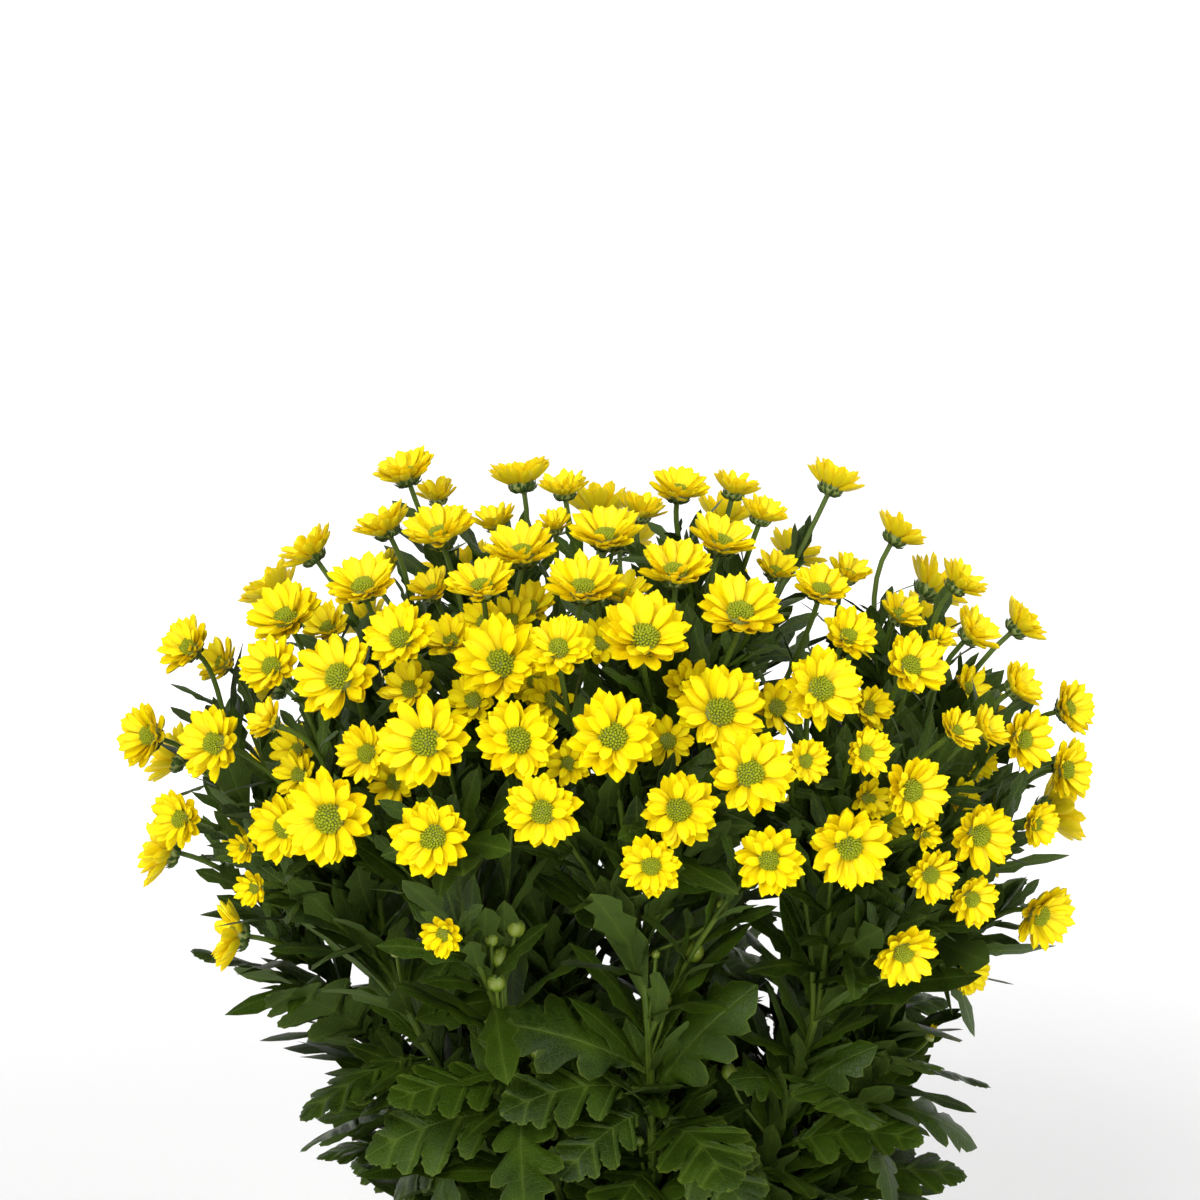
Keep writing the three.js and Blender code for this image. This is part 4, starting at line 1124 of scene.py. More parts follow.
def floret_tree():
    """Florets on each head's dome, on a golden spiral."""
    tree, make, given = new_tree(
        "florets", heads="Geometry", shapes="Collection", number="Int", radius="Float", height="Float",
        dome="Float", seed="Int",
    )
    number, copies = copies_of_heads(make, given)
    index = copies.other("Duplicate Index")
    rim = make.math("SQRT", (index + 0.5) / number)
    turn = index * GOLDEN
    out = rim * given.other("radius") * make.held("size")
    rise = (given.other("height") + given.other("dome") * (1 - rim * rim)) * make.held("size")
    offset = make.xyz(make.math("COSINE", turn) * out, make.math("SINE", turn) * out, rise)
    turned = make.add("FunctionNodeRotateVector", None, {"Vector": offset, "Rotation": make.aim()})
    marked = make.store(copies, "rim", rim)
    moved = make.add("GeometryNodeSetPosition", None, {"Geometry": marked, "Offset": turned})
    seed = given.other("seed")
    size = make.held("size") * make.random(*FLORET_VARIES.sizes, seed)
    tilt = make.held("rim") * FLORET_VARIES.tilt
    florets = placed(make, moved, given.other("shapes"), local_turn(make, 0.0, tilt, turn), size, seed + 1)
    make.add("NodeGroupOutput", None, {"geometry": florets})
    return tree


def finished(make, parts, materials):
    """Ends a tree: each part gets its material, and the copies become plain geometry."""
    painted = []
    for part, finish in zip(parts, materials):
        real = make.add("GeometryNodeRealizeInstances", None, {"Geometry": part})
        painted.append(make.add("GeometryNodeSetMaterial", None, {"Geometry": real, "Material": finish}))
    join = make.tree.nodes.new("GeometryNodeJoinGeometry")
    for part in painted:
        make.tree.links.new(part.socket, join.inputs[0])
    make.add("NodeGroupOutput", None, {"geometry": Link(make, join.outputs[0])})


# The rings of a head, from its petals to its bracts, and of a bud. Lift and spread are in radians, a turn is a
# share of the step from one shape to the next, and more_seed is added to the seed.
HEAD_RINGS = [
    dict(shapes="outer", number=13, lift=0.0, spread=0.1, turn=0.0, size=1.0, more_seed=10),
    dict(shapes="middle", number=11, lift=0.02, spread=0.11, turn=0.5, size=1.0, more_seed=20),
    dict(shapes="inner", number=8, lift=0.0, spread=0.18, turn=0.2, size=1.0, more_seed=30),
    dict(shapes="bracts", number=13, lift=0.0, spread=0.05, turn=0.0, size=1.0, more_seed=40),
    dict(shapes="bracts", number=12, lift=-0.22, spread=0.05, turn=0.5, size=0.9, more_seed=45),
]
BUD_RINGS = [
    dict(shapes="scales", number=6, lift=0.0, spread=0.05, turn=0.0, size=1.0, more_seed=10),
    dict(shapes="scales", number=7, lift=-0.35, spread=0.05, turn=0.5, size=1.04, more_seed=20),
]


def ring_of_shapes(make, whorl, given, shapes, more_seed, **numbers):
    """One ring of shapes round each of the given heads or buds."""
    return make.add("GeometryNodeGroup", {"node_tree": whorl}, {
        "heads": given.other("heads"), "shapes": given.other(shapes), "seed": given.other("seed") + more_seed,
        **numbers,
    })


def bloom_tree():
    """Whole flower heads: bracts, cup, three layers of petals and the florets of the disc."""
    whorl = whorl_tree()
    florets = floret_tree()
    tree, make, given = new_tree(
        "bloom", heads="Geometry", bracts="Collection", cores="Collection", outer="Collection",
        middle="Collection", inner="Collection", florets="Collection", petal="Material", green="Material",
        disc="Material", seed="Int",
    )
    seed = given.other("seed")
    core = placed(make, given.other("heads"), given.other("cores"), make.aim(), make.held("size"), seed)
    disc = make.add("GeometryNodeGroup", {"node_tree": florets}, {
        "heads": given.other("heads"), "shapes": given.other("florets"), "seed": seed + 50, **vars(FLORETS),
    })
    rings = [ring_of_shapes(make, whorl, given, **row) for row in HEAD_RINGS]
    petal, green = given.other("petal"), given.other("green")
    finished(make, [*rings, core, disc], [petal, petal, petal, green, green, green, given.other("disc")])
    return tree


def bud_tree():
    """Buds: a ball closed in by two rings of scales."""
    whorl = whorl_tree()
    tree, make, given = new_tree(
        "bud", heads="Geometry", scales="Collection", cores="Collection", green="Material", seed="Int",
    )
    core = placed(make, given.other("heads"), given.other("cores"), make.aim(), make.held("size"), 5)
    rings = [ring_of_shapes(make, whorl, given, **row) for row in BUD_RINGS]
    finished(make, [*rings, core], [given.other("green")] * 3)
    return tree


TUBE = Sizes(
    sides=14, ribs=7, rib_depth=0.07, steps=14, low_steps=8,
    stalk_radius=1.2, neck_radius=1.05, axis_radius=1.75,
)


def tube_tree():
    """Ribbed tubes along lines that carry their own radius."""
    tree, make, given = new_tree(
        "tube", lines="Geometry", sides="Int", ribs="Int", rib_depth="Float", green="Material",
    )
    curve = make.add("GeometryNodeMeshToCurve", None, {"Mesh": given.other("lines")})
    sockets = {"Resolution": given.other("sides"), "Radius": 1.0}
    circle = make.add("GeometryNodeCurvePrimitiveCircle", None, sockets)
    around = make.add("GeometryNodeInputIndex") / given.other("sides")
    ridge = make.math("COSINE", around * given.other("ribs") * FULL_TURN) * given.other("rib_depth") + 1
    sockets = {0: make.add("GeometryNodeInputPosition"), "Scale": ridge}
    scaled = make.add("ShaderNodeVectorMath", {"operation": "SCALE"}, sockets)
    ribbed = make.add("GeometryNodeSetPosition", None, {"Geometry": circle, "Position": scaled})
    tube = make.add("GeometryNodeCurveToMesh", None, {
        "Curve": curve, "Profile Curve": make.store(ribbed, "around", around), "Scale": make.held("radius"),
        "Fill Caps": True,
    })
    finished(make, [tube], [given.other("green")])
    return tree


def spread_tree():
    """Shapes set on points that carry their own aim and size."""
    tree, make, given = new_tree("spread", points="Geometry", shapes="Collection", green="Material", seed="Int")
    aim, size = make.aim(), make.held("size")
    leaves = placed(make, given.other("points"), given.other("shapes"), aim, size, given.other("seed"))
    finished(make, [leaves], [given.other("green")])
    return tree


# What a grown mesh keeps of the numbers that it carries.
KEPT_NUMBERS = {
    "position", "sheet", "underside", "sharp_edge", "vein", "tint", "rim", "around", "material_index",
}


def grown(name, source, tree, **values):
    """A plain mesh piece, made by running a tree on a source mesh."""
    carrier = bpy.data.objects.new(name + "_source", source)
    bpy.context.scene.collection.objects.link(carrier)
    modifier = carrier.modifiers.new(name, "NODES")
    modifier.node_group = tree
    for item in tree.interface.items_tree:
        if item.in_out == "INPUT" and item.name in values:
            modifier[item.identifier] = values[item.name]
    depsgraph = bpy.context.evaluated_depsgraph_get()
    evaluated = carrier.evaluated_get(depsgraph)
    mesh = bpy.data.meshes.new_from_object(evaluated, preserve_all_data_layers=True, depsgraph=depsgraph)
    carrier.modifiers.remove(modifier)
    bpy.data.objects.remove(carrier)
    for extra in [a.name for a in mesh.attributes if a.name not in KEPT_NUMBERS and not a.name.startswith(".")]:
        mesh.attributes.remove(mesh.attributes[extra])
    return piece(name, mesh)


def piece(name, mesh, *finishes):
    made = bpy.data.objects.new(name, mesh)
    mesh.name = name
    for finish in finishes:
        mesh.materials.append(finish)
    bpy.context.scene.collection.objects.link(made)
    return made


# Slot names that more than one kind of piece is seated with.
GREEN = "green_stems_and_leaves"
YELLOW = "yellow_flowers"


def seat(made, slot, *nodes):
    """The piece rides with the plant and stands for CAD nodes. The slot is not used."""
    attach(made, "root")
    if nodes:
        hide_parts(*nodes)


def shape_collection(name, meshes):
    """Shapes for a tree to copy. They are put away again at the end."""
    group = bpy.data.collections.new(name)
    bpy.context.scene.collection.children.link(group)
    for mesh in meshes:
        group.objects.link(bpy.data.objects.new(mesh.name, mesh))
    return group


def put_away(group):
    for shape in list(group.objects):
        mesh = shape.data
        bpy.data.objects.remove(shape)
        bpy.data.meshes.remove(mesh)
    bpy.data.collections.remove(group)


def turn_of(x_axis, z_axis):
    """The turn that takes X and Z to two directions, as a quaternion's four numbers."""
    x_axis = square_to(z_axis, x_axis)
    columns = Matrix((x_axis, np.cross(z_axis, x_axis), z_axis)).transposed()
    return tuple(columns.to_quaternion())


def points_mesh(name, places, **numbers):
    """Loose points in millimetres that carry numbers. An aim is four numbers a point."""
    mesh = bpy.data.meshes.new(name)
    mesh.from_pydata((np.asarray(places) * MM).tolist(), [], [])
    for number, values in numbers.items():
        carry(mesh, number, "QUATERNION" if number == "aim" else "FLOAT", "POINT", values)
    return mesh


def lines_mesh(name, lines):
    """Lines of points in millimetres, each with a radius at each point."""
    points, edges, radii = [], [], []
    for line, radius in lines:
        edges += [(len(points) + k, len(points) + k + 1) for k in range(len(line) - 1)]
        points += list(line)
        radii += list(radius)
    mesh = bpy.data.meshes.new(name)
    mesh.from_pydata((np.array(points) * MM).tolist(), edges, [])
    carry(mesh, "radius", "FLOAT", "POINT", np.array(radii) * MM)
    return mesh


# How full a head is, and how far it is closed, in radians, by its kind.
FULLNESS = {"facing": 1.0, "away": 0.9, "deep": 0.72, "back": 0.8, "half": 0.75}
CLOSING = {"facing": 0.0, "away": 0.08, "deep": 0.1, "back": 0.03, "half": 0.22}
CLOSING_WOBBLE = (-0.05, 0.07)


def head_points(stem, number):
    """The points that a stem's heads stand on, each with its aim, size, fullness, closing and spin."""
    draw = Draws(SEEDS.head + number)
    return points_mesh(
        "heads", [head.base for head in stem.heads],
        aim=[turn_of(side_of(head.face), head.face) for head in stem.heads],
        size=[head.radius * MM for head in stem.heads],
        fullness=[FULLNESS[head.kind] for head in stem.heads],
        closing=[CLOSING[head.kind] + draw(*CLOSING_WOBBLE) for head in stem.heads],
        spin=[draw(0, ABOUT_A_TURN) for _ in stem.heads],
    )


def stem_lines(stem):
    """The stem with its leading stalk as one line, and the other stalks from where they leave it."""
    leader, *others = stem.heads
    shares = np.linspace(0, 1, TUBE.steps)
    low = [stem_at(stem, share) for share in np.linspace(0, 1, TUBE.low_steps)]
    low_radius = np.linspace(STEM.foot_radius, TUBE.axis_radius, TUBE.low_steps)
    high = [leader.stalk.at(share) for share in shares]
    high_radius = np.linspace(TUBE.axis_radius, TUBE.neck_radius, TUBE.steps)
    lines = [(low + high[1:], np.concatenate([low_radius, high_radius[1:]]))]
    for head in others:
        radius = np.linspace(TUBE.stalk_radius, TUBE.neck_radius, TUBE.steps)
        lines.append(([head.stalk.at(share) for share in shares], radius))
    return lines


def fill_leaves(stems):
    """More leaves wherever there is room between those of the solids, the stalks and the heads."""
    obstacles = obstacles_of(stems, FILL.stem_room, FILL.stalk_room, FILL.head_room)
    for owner, stem in enumerate(stems):
        stem.fill = []
        for leaf in stem.leaves:
            points, feet = blade_samples(leaf)
            obstacles.add(points, FILL.leaf_room, owner, feet)
    for i in range(FILL.tries):
        for owner, stem in enumerate(stems):
            draw = Draws(SEEDS.filling_leaf + 400 * owner + i)
            root = stem_at(stem, draw(FILL.lowest, FILL.highest))
            out = math.atan2(root[1] - FAN[1], root[0] - FAN[0])
            turn = out + math.radians(draw(-1, 1) * FILL.spread)
            rise = math.radians(draw(FILL.most_droop, FILL.least_droop))
            tip = root + face_direction(rise, turn + math.pi / 2) * draw(FILL.shortest, FILL.longest)
            leaf = Sizes(root=root, tip=tip, arch=draw(*FILL.arch), looking=outward_look(root))
            if keep_clear(leaf, owner, obstacles, FILL.leaf_room):
                stem.fill.append(leaf)


def leaf_points(leaves):
    """The points that copied leaves stand on, each aimed along its leaf with the blade's upper side up."""
    aims = []
    for leaf in leaves:
        forward = unit(leaf.tip - leaf.root)
        aims.append(turn_of(forward, square_to(forward, leaf.looking)))
    return points_mesh(
        "leaves", [leaf.root for leaf in leaves], aim=aims,
        size=[math.dist(leaf.root, leaf.tip) / FILL_LENGTH for leaf in leaves],
    )


# The leaves that trees copy are made this long, and each copy is scaled to its own length.
FILL_LENGTH = 60
FILL_SHAPES = Sizes(
    count=8, seed=700, blade_seed=800, leans=[6], arch=FILL.arch, outline=SIMPLE_OUTLINE, columns=5,
)
NARROW_SHAPES = Sizes(
    count=6, seed=900, blade_seed=950, leans=[4, 6], arch=[-0.1, 0.16], outline=NARROW_OUTLINE, columns=3,
)

# The narrow leaves up the stems, fewer on those in front, and up the flower stalks.
NARROW_ROOM = 2.5
NARROW_CUTS = (1, 0.75, 0.5)
NARROW_LENGTHS = (0.7, 1.2)
NARROW_WOBBLE = (-0.4, 0.4)
STEM_LEAVES = Sizes(
    each=100, front=44, front_from=-0.2, lowest=0.25, longest=66, shortest=40, least_lean=15, most_lean=75,
)
STALK_LEAVES = Sizes(each=16, highest=0.8, longest=60, shortest=8, least_lean=10, most_lean=62)


def narrow_leaf(draw, turn, root, axis, length, sizes):
    """A leaf that leans away from the stalk or stem that carries it, shorter or left out below a head."""
    side = side_of(axis)
    out = side * math.cos(turn) + np.cross(axis, side) * math.sin(turn)
    lean = math.radians(draw(sizes.least_lean, sizes.most_lean))
    reach = (axis * math.cos(lean) + out * math.sin(lean)) * (length * draw(*NARROW_LENGTHS))
    for share in NARROW_CUTS:
        if clear_of_heads(root, root + reach * share):
            return [Sizes(root=root, tip=root + reach * share, looking=axis)]
    return []


def clear_of_heads(root, tip):
    """Whether a straight leaf keeps off every head, apart from its first third."""
    along = root + np.linspace(0.3, 1, 6)[:, None] * (tip - root)
    away = np.linalg.norm(along[:, None] - HEAD_CENTRES, axis=2)
    return (away > HEAD_RADII + NARROW_ROOM).all()


def narrow_length(sizes, share):
    return sizes.longest + (sizes.shortest - sizes.longest) * share


def stalk_leaves(stem, number):
    """Narrow leaves up a stem and its flower stalks, shorter towards the heads."""
    leaves = []
    draw = Draws(SEEDS.stalk_leaf + number)
    turn = 0
    each = STEM_LEAVES.front if stem.direction[1] < STEM_LEAVES.front_from else STEM_LEAVES.each
    for k in range(each):
        share = STEM_LEAVES.lowest + (1 - STEM_LEAVES.lowest) * k / each
        turn += GOLDEN + draw(*NARROW_WOBBLE)
        root, axis = stem_at(stem, share), unit(stem.top - stem.foot)
        leaves += narrow_leaf(draw, turn, root, axis, narrow_length(STEM_LEAVES, share), STEM_LEAVES)
    for head in stem.heads:
        turn = draw(0, FULL_TURN)
        for k in range(STALK_LEAVES.each):
            share = (k + draw(0.2, 0.8)) / STALK_LEAVES.each * STALK_LEAVES.highest
            turn += GOLDEN + draw(*NARROW_WOBBLE)
            root, axis = head.stalk.at(share), head.stalk.tangent(share)
            leaves += narrow_leaf(draw, turn, root, axis, narrow_length(STALK_LEAVES, share), STALK_LEAVES)
    return leaves


# Buds: how far nearer than their stem, and how long, thick and finely cut their stalks, where stalks may start,
# and the ranges that those at the back are drawn from.
BUD = Sizes(nearer=20, stalk=30, stalk_radius=0.8, stalk_steps=9, stalk_sides=8, stalk_ribs=4)
BUD_PLACES = Sizes(stem=np.linspace(0.35, 1, 14), stalk=np.linspace(0, 0.8, 10))
BACK_BUD = Sizes(
    from_direction=0.1, shares=(0.12, 0.45), out=(10, 22), up=(18, 34), aside=(-8, 8), radius=4.2,
    sizes=(0.8, 1.2), opening_chance=0.2,
)


def read_buds(stems):
    """Buds read in the photograph, each on a thin stalk from the stem that its line of sight passes."""
    places = []
    for stem in stems:
        places += [stem_at(stem, share) for share in BUD_PLACES.stem]
        places += [stem.heads[0].stalk.at(share) for share in BUD_PLACES.stalk]
    places = np.array(places)
    buds = []
    for x, y, width, opens in BUDS:
        ray = sight_through(x, y)
        foot_ray = sight_through(x, y + BUD.stalk / VIEW.mm_per_pixel)
        depths = (places - EYE) @ SIGHT
        miss = np.linalg.norm(places - EYE - foot_ray * depths[:, None], axis=1)
        best = np.argmin(miss + LEAF.front_first * 2 * (depths - VIEW.distance))
        root, depth = places[best], depths[best]
        centre = EYE + ray * (depth - BUD.nearer)
        buds.append(make_bud(root, centre, width / 2 * VIEW.mm_per_pixel, opens))
    return buds


def back_buds(stems):
    """A bud beside the leading stalk of the stems round the back."""
    buds = []
    for number, stem in enumerate(stems):
        draw = Draws(SEEDS.back_bud + number)
        if stem.direction[1] < BACK_BUD.from_direction:
            continue
        for share in BACK_BUD.shares:
            root = stem.heads[0].stalk.at(share)
            outward = unit(np.array([root[0] - FAN[0], root[1] - FAN[1], 0]))
            centre = root + outward * draw(*BACK_BUD.out) + UP * draw(*BACK_BUD.up)
            centre = centre + side_of(UP) * draw(*BACK_BUD.aside)
            radius = BACK_BUD.radius * draw(*BACK_BUD.sizes)
            buds.append(make_bud(root, centre, radius, draw(0, 1) < BACK_BUD.opening_chance))
    return buds


def make_bud(root, centre, radius, opens):
    """A bud that faces up and away from its root, on a curved stalk."""
    face = unit(unit(centre - root) + UP)
    length = math.dist(root, centre)
    stalk = Curve(root, root + unit(centre - root) * (0.4 * length), centre - face * (0.45 * length), centre)
    return Sizes(centre=centre, face=face, radius=radius, stalk=stalk, opens=opens)


def leaf_shapes(name, shapes):
    """Leaves along +X for a tree to copy. Each leans a little to a side and, with a second lean, up or down."""
    meshes = []
    for i in range(shapes.count):
        draw = Draws(shapes.seed + i)
        leans = [draw(-most, most) for most in shapes.leans] + [0]
        tip = np.array([FILL_LENGTH, leans[0], leans[1]])
        leaf = Sizes(root=np.zeros(3), tip=tip, arch=draw(*shapes.arch), looking=UP)
        seed = shapes.blade_seed + i
        meshes.append(leaf_mesh(f"{name}_{i}", leaf, shapes.outline, shapes.columns, seed))
    return shape_collection(name, meshes)


def pot_radius(height):
    """The radius of the pot's outside below its rim."""
    slope = (POT.rim_radius - POT.rim_step - POT.foot_radius) / POT.height
    return POT.foot_radius + slope * height


def rounded(across, up, radius, start, end):
    """A rounded corner of a profile, round a middle and between two angles in degrees."""
    angles = np.radians(np.linspace(start, end, 5))
    return [[across + radius * math.cos(a), up + radius * math.sin(a)] for a in angles]


def pot_mesh():
    """The pot's wall turned round its axis: up the outside, over the rolled rim and down the inside."""
    shoulder = POT.height - POT.rim_height
    inner_top = POT.rim_radius - POT.rim_step - POT.wall
    foot, step, lip, corner = POT.foot_edge, POT.step_edge, POT.lip, POT.inner_edge
    profile = [
        [0, 0], *rounded(POT.foot_radius - foot, foot, foot, -90, 10),
        [pot_radius(40), 40], [pot_radius(70), 70], [pot_radius(shoulder - 1), shoulder - 1],
        *rounded(POT.rim_radius - step, shoulder + step, step, -90, 0),
        *rounded(POT.rim_radius - lip, POT.height - lip, lip, 0, 90),
        *rounded(inner_top + lip, POT.height - lip, lip, 90, 180),
        [pot_radius(60) - POT.wall, 60],
        *rounded(pot_radius(POT.floor) - POT.wall - corner, POT.floor + corner, corner, 0, -90),
        [0, POT.floor],
    ]
    return lathe("clay_pot", profile, POT.sides)


def drilled(pot):
    """Cuts the drain holes through the pot's floor."""
    for i in range(POT.drain_count):
        angle = FULL_TURN * i / POT.drain_count + math.pi / 2
        x, y = POT.drain_ring * math.cos(angle), POT.drain_ring * math.sin(angle)
        low, high, radius = -POT.floor, 2 * POT.floor, POT.drain_radius
        drill_mesh = lathe("drill", [[0, low], [radius, low], [radius, high], [0, high]], 32)
        drill_mesh.transform(Matrix.Translation((x * MM, y * MM, 0)))
        drill = piece("drill", drill_mesh)
        cut = pot.modifiers.new("drain", "BOOLEAN")
        cut.operation = "DIFFERENCE"
        cut.solver = "EXACT"
        cut.object = drill
        depsgraph = bpy.context.evaluated_depsgraph_get()
        bored = bpy.data.meshes.new_from_object(pot.evaluated_get(depsgraph), depsgraph=depsgraph)
        pot.modifiers.remove(cut)
        bpy.data.objects.remove(drill)
        pot.data = bored
    pot.data.name = pot.name
    pot.data.shade_smooth()
    pot.data.set_sharp_from_angle(angle=math.radians(50))
    return pot


def soil_radius(height):
    return pot_radius(height) - POT.wall - SOIL.gap


def soil_mesh():
    """The root ball: smooth where the pot holds it, and a rough swelling top."""
    low = POT.floor + SOIL.gap + 3
    low_radius, *radii, top = (soil_radius(height) for height in (low, 40, 80, SOIL_TOP - 3, SOIL_TOP))
    profile = [[0, low - 2], [low_radius - 4, low - 2], [low_radius - 1, low + 1]]
    profile += [[radius - 0.3, height] for radius, height in zip(radii, (40, 80, SOIL_TOP - 3))]
    for k in range(SOIL.rings):
        profile.append([top * (1 - k / SOIL.rings), SOIL_TOP + SOIL.swell * (k / SOIL.rings)])
    profile.append([0, SOIL_TOP + SOIL.swell])

    def rough(points):
        for point in points:
            if point[2] >= SOIL_TOP and math.hypot(point[0], point[1]) < top - 0.5:
                x, y = point[0], point[1]
                lumps = math.sin(x * 0.41 + 1.3) * math.cos(y * 0.37) + 0.6 * math.sin(x * 1.1 - y * 0.9)
                point[2] += SOIL.roughness * 0.5 * (lumps + math.sin(x * 2.3 + y * 1.7) * 0.4)
        return points

    return lathe("soil", profile, SOIL.sides, rough)


def crumb_tree():
    """Crumbs strewn over the top of the soil."""
    tree, make, given = new_tree(
        "crumbs", ground="Geometry", shapes="Collection", density="Float", soil="Material", seed="Int",
    )
    normal = make.parts(make.add("GeometryNodeInputNormal"), "Z")
    height = make.parts(make.add("GeometryNodeInputPosition"), "Z")
    top = make.math("GREATER_THAN", normal, 0.5) * make.math("GREATER_THAN", height, (SOIL_TOP - 2) * MM)
    seed = given.other("seed")
    points = make.add("GeometryNodeDistributePointsOnFaces", None, {
        "Mesh": given.other("ground"), "Selection": top, "Density": given.other("density"), "Seed": seed,
    })
    angles = make.xyz(*(make.random(0.0, ABOUT_A_TURN, seed + k) for k in (1, 2, 3)))
    turn = make.add("FunctionNodeEulerToRotation", None, {"Euler": angles})
    size = make.random(0.3, 1.0, seed + 4) ** 2.0
    crumbs = placed(make, points, given.other("shapes"), turn, size, seed + 5)
    finished(make, [crumbs], [given.other("soil")])
    return tree


def crumb_shape(name, seed):
    draw = Draws(seed)
    radius = SOIL.crumb / 2
    shares = [[0, -1], [0.8, -0.5], [1, 0.2], [0.5, 0.8], [0, 0.9]]
    profile = [[radius * out, radius * up] for out, up in shares]

    def uneven(points):
        return points * np.array([[draw(0.75, 1.2) for _ in range(3)] for _ in points])

    return lathe(name, profile, 6, uneven)


def petal_shapes(name, layer, seed, curl):
    shapes = [petal_shape(f"{name}_{i}", layer, seed + i, curl) for i in range(SHAPES_EACH)]
    return shape_collection(name, shapes)


def make_flowers(finishes):
    shapes = {
        "outer": petal_shapes("outer", OUTER, 40, 0.14),
        "middle": petal_shapes("middle", MIDDLE, 50, 0.09),
        "inner": petal_shapes("inner", INNER, 60, 0.1),
        "bracts": petal_shapes("bracts", BRACT, 70, 0.02),
        "florets": shape_collection("florets", [floret_shape("floret")]),
        "cores": shape_collection("cores", [core_shape("core")]),
    }
    tree = bloom_tree()
    for number, stem in enumerate(stems, 1):
        made = grown(
            f"spray_{number:02d}_heads", head_points(stem, number), tree, petal=finishes.petal,
            green=finishes.bract, disc=finishes.disc, seed=100 * number, **shapes,
        )
        seat(made, YELLOW, f"spray_{number:02d}_flowers")
    return tree, shapes


def make_stems(finishes):
    tree = tube_tree()
    for number, stem in enumerate(stems, 1):
        made = grown(
            f"spray_{number:02d}_stems", lines_mesh("lines", stem_lines(stem)), tree, sides=TUBE.sides,
            ribs=TUBE.ribs, rib_depth=TUBE.rib_depth, green=finishes.stem,
        )
        seat(made, GREEN, f"spray_{number:02d}_leafy_stem")


def large_leaf(name, leaf, finish, seed):
    """A large leaf as a piece of its own, with one tint."""
    mesh = leaf_mesh("leaf", leaf, scalloped(LEAF_OUTLINE), LEAF.columns, seed)
    carry(mesh, "tint", "FLOAT", "POINT", np.full(len(mesh.vertices), Draws(seed)(0, 1)))
    seat(piece(name, mesh, finish), GREEN)


def copied_leaves(name, leaves, tree, shapes, finish, seed):
    seat(grown(name, leaf_points(leaves), tree, shapes=shapes, green=finish, seed=seed), GREEN)


def make_leaves(finish):
    shapes = leaf_shapes("fill_leaf", FILL_SHAPES)
    tree = spread_tree()
    for number, stem in enumerate(stems, 1):
        copied_leaves(f"spray_{number:02d}_filling_leaves", stem.fill, tree, shapes, finish, number)
        for k, leaf in enumerate(stem.leaves, 1):
            large_leaf(f"spray_{number:02d}_leaf_{k}", leaf, finish, 100 * number + k)
    for k, leaf in enumerate(crowded_leaves(stems, CROWDED), 1):
        large_leaf(f"crowded_leaf_{k}", leaf, finish, SEEDS.crowded_leaf + k)
    put_away(shapes)
    narrow = leaf_shapes("narrow_leaf", NARROW_SHAPES)
    for number, stem in enumerate(stems, 1):
        leaves = stalk_leaves(stem, number)
        copied_leaves(f"spray_{number:02d}_stalk_leaves", leaves, tree, narrow, finish, 50 + number)
    put_away(narrow)


def bud_points(buds, sink, size, fullness, closing, spin):
    """The points that buds stand on, sunk and sized in shares of their radius, each turned on from the last."""
    count = len(buds)
    return points_mesh(
        "buds", [bud.centre - bud.face * (bud.radius * sink) for bud in buds],
        aim=[turn_of(side_of(bud.face), bud.face) for bud in buds],
        size=[bud.radius * size * MM for bud in buds],
        fullness=[fullness] * count, closing=[closing] * count, spin=[spin * k for k in range(count)],
    )


def make_buds(finishes, bloom, shapes):
    """Green buds on thin stalks, and the few that open and show yellow."""
    buds = read_buds(stems) + back_buds(stems)
    closed, opening = ([bud for bud in buds if bool(bud.opens) == opens] for opens in (False, True))
    scales = petal_shapes("bud_scales", BUD_SCALE, 90, 0.04)
    cores = shape_collection("bud_cores", [bud_core_shape("bud_core")])
    points = bud_points(closed, sink=0, size=1, fullness=1.0, closing=0.0, spin=0.37)
    made = grown("buds", points, bud_tree(), scales=scales, cores=cores, green=finishes.bud, seed=400)
    seat(made, GREEN)
    points = bud_points(opening, sink=1, size=1.5, fullness=0.7, closing=0.75, spin=0.9)
    made = grown(
        "opening_buds", points, bloom, petal=finishes.petal, green=finishes.bract, disc=finishes.disc,
        seed=410, **shapes,
    )
    seat(made, YELLOW)
    shares = np.linspace(0, 1, BUD.stalk_steps)
    radii = np.full(BUD.stalk_steps, BUD.stalk_radius)
    lines = [([bud.stalk.at(share) for share in shares], radii) for bud in buds]
    made = grown(
        "bud_stalks", lines_mesh("lines", lines), tube_tree(), sides=BUD.stalk_sides, ribs=BUD.stalk_ribs,
        rib_depth=TUBE.rib_depth, green=finishes.stem,
    )
    seat(made, GREEN)
    for group in (scales, cores, *shapes.values()):
        put_away(group)


def make_pot(finishes):
    pot = drilled(piece("clay_pot", pot_mesh(), finishes.clay))
    seat(pot, "clay_pot", "pot")
    soil = piece("potting_soil", soil_mesh(), finishes.soil)
    shapes = shape_collection("crumb_shapes", [crumb_shape(f"crumb_{i}", 30 + i) for i in range(4)])
    crumbs = grown(
        "soil_crumbs", soil.data.copy(), crumb_tree(), shapes=shapes, soil=finishes.soil,
        density=SOIL.density, seed=5,
    )
    put_away(shapes)
    seat(soil, "soil", "soil_root_ball")
    seat(crumbs, "soil")


# The floor and the paper wall round it in millimetres, the world's and the two finishes' glow, and the lamps by
# place, size and power, in metres and watts.
STUDIO = Sizes(floor=4e4, wall_radius=20000, wall_thickness=50, wall_foot=-10, wall_height=4600, wall_sides=96)
GLOW = Sizes(world=0.33, floor=0.6, wall=1.0)
LAMPS = {
    "key": ((-0.9, -2.2, 1.9), 1.2, 43),
    "fill": ((1.8, -1.7, 1.2), 1.6, 16),
    "top": ((0.2, 0.2, 2.6), 1.6, 28),
}
LAMPS_AIM = [0, 0, 0.3]


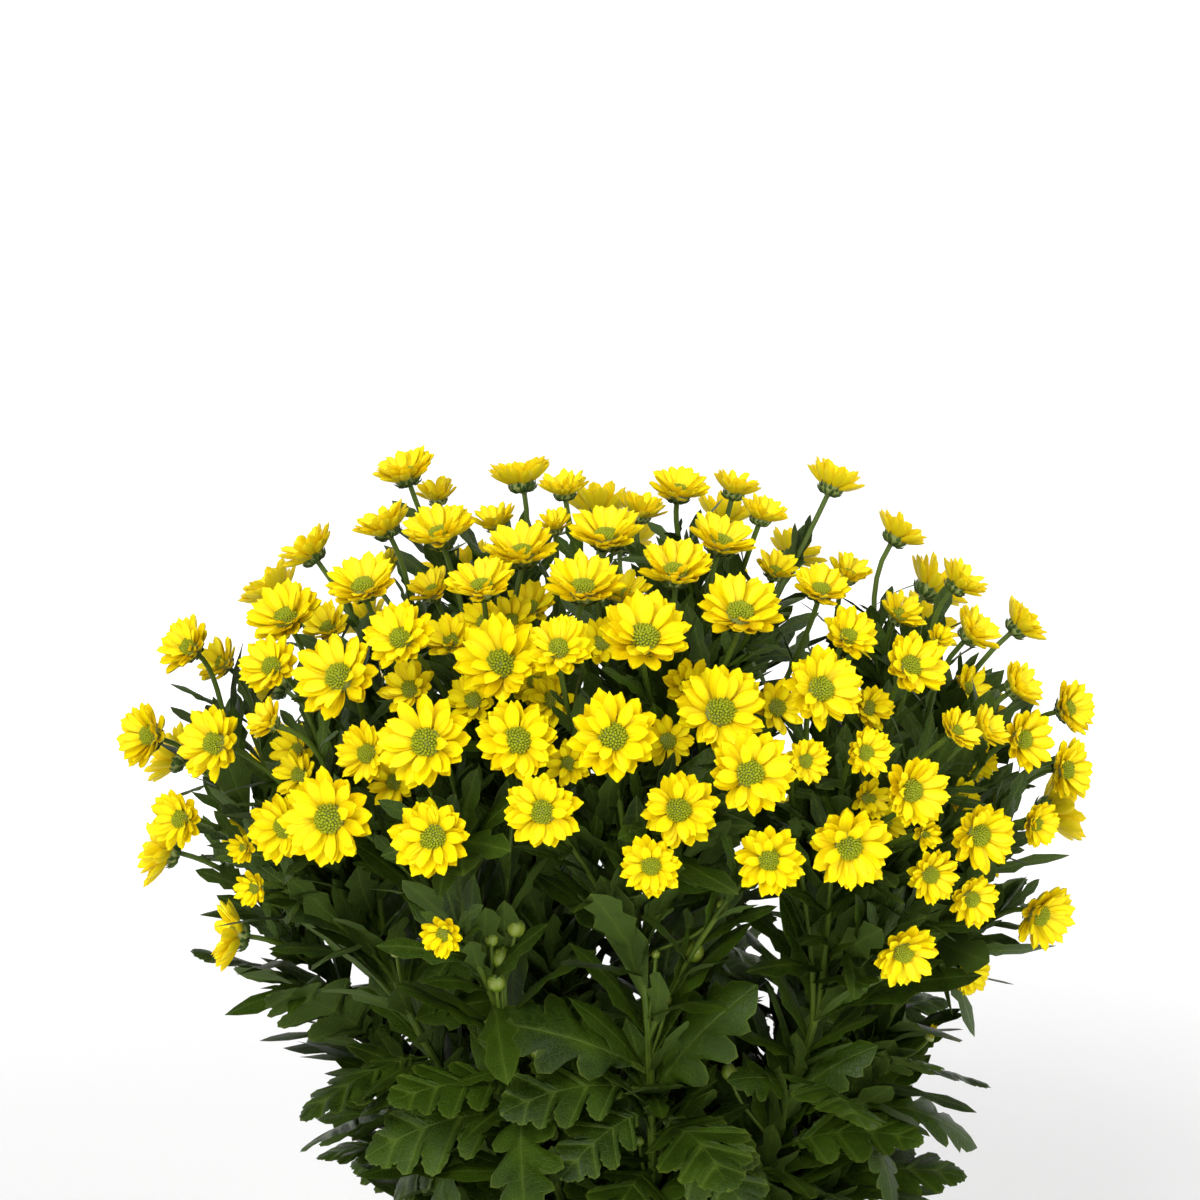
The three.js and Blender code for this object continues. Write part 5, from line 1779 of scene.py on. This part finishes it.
def ring_mesh(name, outline, sides):
    """A closed ring: an outline of radii and heights turned round Z."""
    angles = np.arange(sides) * (FULL_TURN / sides)
    points = [
        [radius * math.cos(angle), radius * math.sin(angle), height]
        for angle in angles for radius, height in outline
    ]
    count = len(outline)
    faces = []
    for i in range(sides):
        for j in range(count):
            here, beyond = i * count, (i + 1) % sides * count
            faces.append([here + j, beyond + j, beyond + (j + 1) % count, here + (j + 1) % count])
    return mesh_of(name, points, faces)


def make_studio():
    """The floor, the soft light and the camera at the photograph's angle."""
    far = STUDIO.floor
    floor = mesh_of("floor", [[-far, -far, 0], [far, -far, 0], [far, far, 0], [-far, far, 0]], [[0, 1, 2, 3]])
    piece("floor", floor, material("studio_floor", paint_floor, Emission_Strength=GLOW.floor))
    inner, outer = STUDIO.wall_radius, STUDIO.wall_radius + STUDIO.wall_thickness
    low, high = STUDIO.wall_foot, STUDIO.wall_height
    outline = [[inner, low], [outer, low], [outer, high], [inner, high]]
    wall = ring_mesh("paper_wall", outline, STUDIO.wall_sides)
    piece("paper_wall", wall, material("paper_wall", paint_floor, Emission_Strength=GLOW.wall))
    scene = bpy.context.scene
    scene.view_settings.view_transform = "Standard"
    world = bpy.data.worlds.new("studio")
    world.use_nodes = True
    background = world.node_tree.nodes["Background"]
    background.inputs["Color"].default_value = (1, 1, 1, 1)
    background.inputs["Strength"].default_value = GLOW.world
    scene.world = world
    for name, (place, size, power) in LAMPS.items():
        lamp = bpy.data.lights.new(name, "AREA")
        lamp.energy = power
        lamp.size = size
        lamp.shape = "DISK"
        light = bpy.data.objects.new(name, lamp)
        light.location = place
        aim = unit(np.array(LAMPS_AIM) - np.array(place))
        light.rotation_mode = "QUATERNION"
        light.rotation_quaternion = turn_of(side_of(-aim), -aim)
        scene.collection.objects.link(light)
    lens = bpy.data.cameras.new("camera")
    lens.sensor_fit = "HORIZONTAL"
    lens.angle = 2 * math.atan(VIEW.pixels / 2 * VIEW.mm_per_pixel / VIEW.distance)
    camera = bpy.data.objects.new("camera", lens)
    camera.location = EYE * MM
    camera.rotation_euler = (math.pi / 2 - DIP, 0, 0)
    scene.collection.objects.link(camera)
    scene.camera = camera


heads = read_heads()
heads += back_heads(heads)
stems = main_stems(heads)
for stem in stems:
    grow_stalks(stem)
clear_stalks(stems)
CROWDED = grow_leaves(stems)
fill_leaves(stems)
HEAD_CENTRES = np.array([head.centre for head in heads])
HEAD_RADII = np.array([head.radius for head in heads])

FINISHES = Sizes(
    petal=material("petal", paint_petal, Specular_IOR_Level=0.3),
    disc=material("disc_florets", paint_disc, Specular_IOR_Level=0.3),
    bract=material("bracts", paint_bract, Specular_IOR_Level=0.35),
    bud=material("buds", paint_bud),
    stem=material("stems", paint_stem, Specular_IOR_Level=0.35),
    leaf=material("leaves", paint_leaf, Specular_IOR_Level=0.2),
    clay=material("fired_clay", paint_clay),
    soil=material("potting_soil", paint_soil),
)
make_pot(FINISHES)
make_stems(FINISHES)
make_leaves(FINISHES.leaf)
make_buds(FINISHES, *make_flowers(FINISHES))
make_studio()
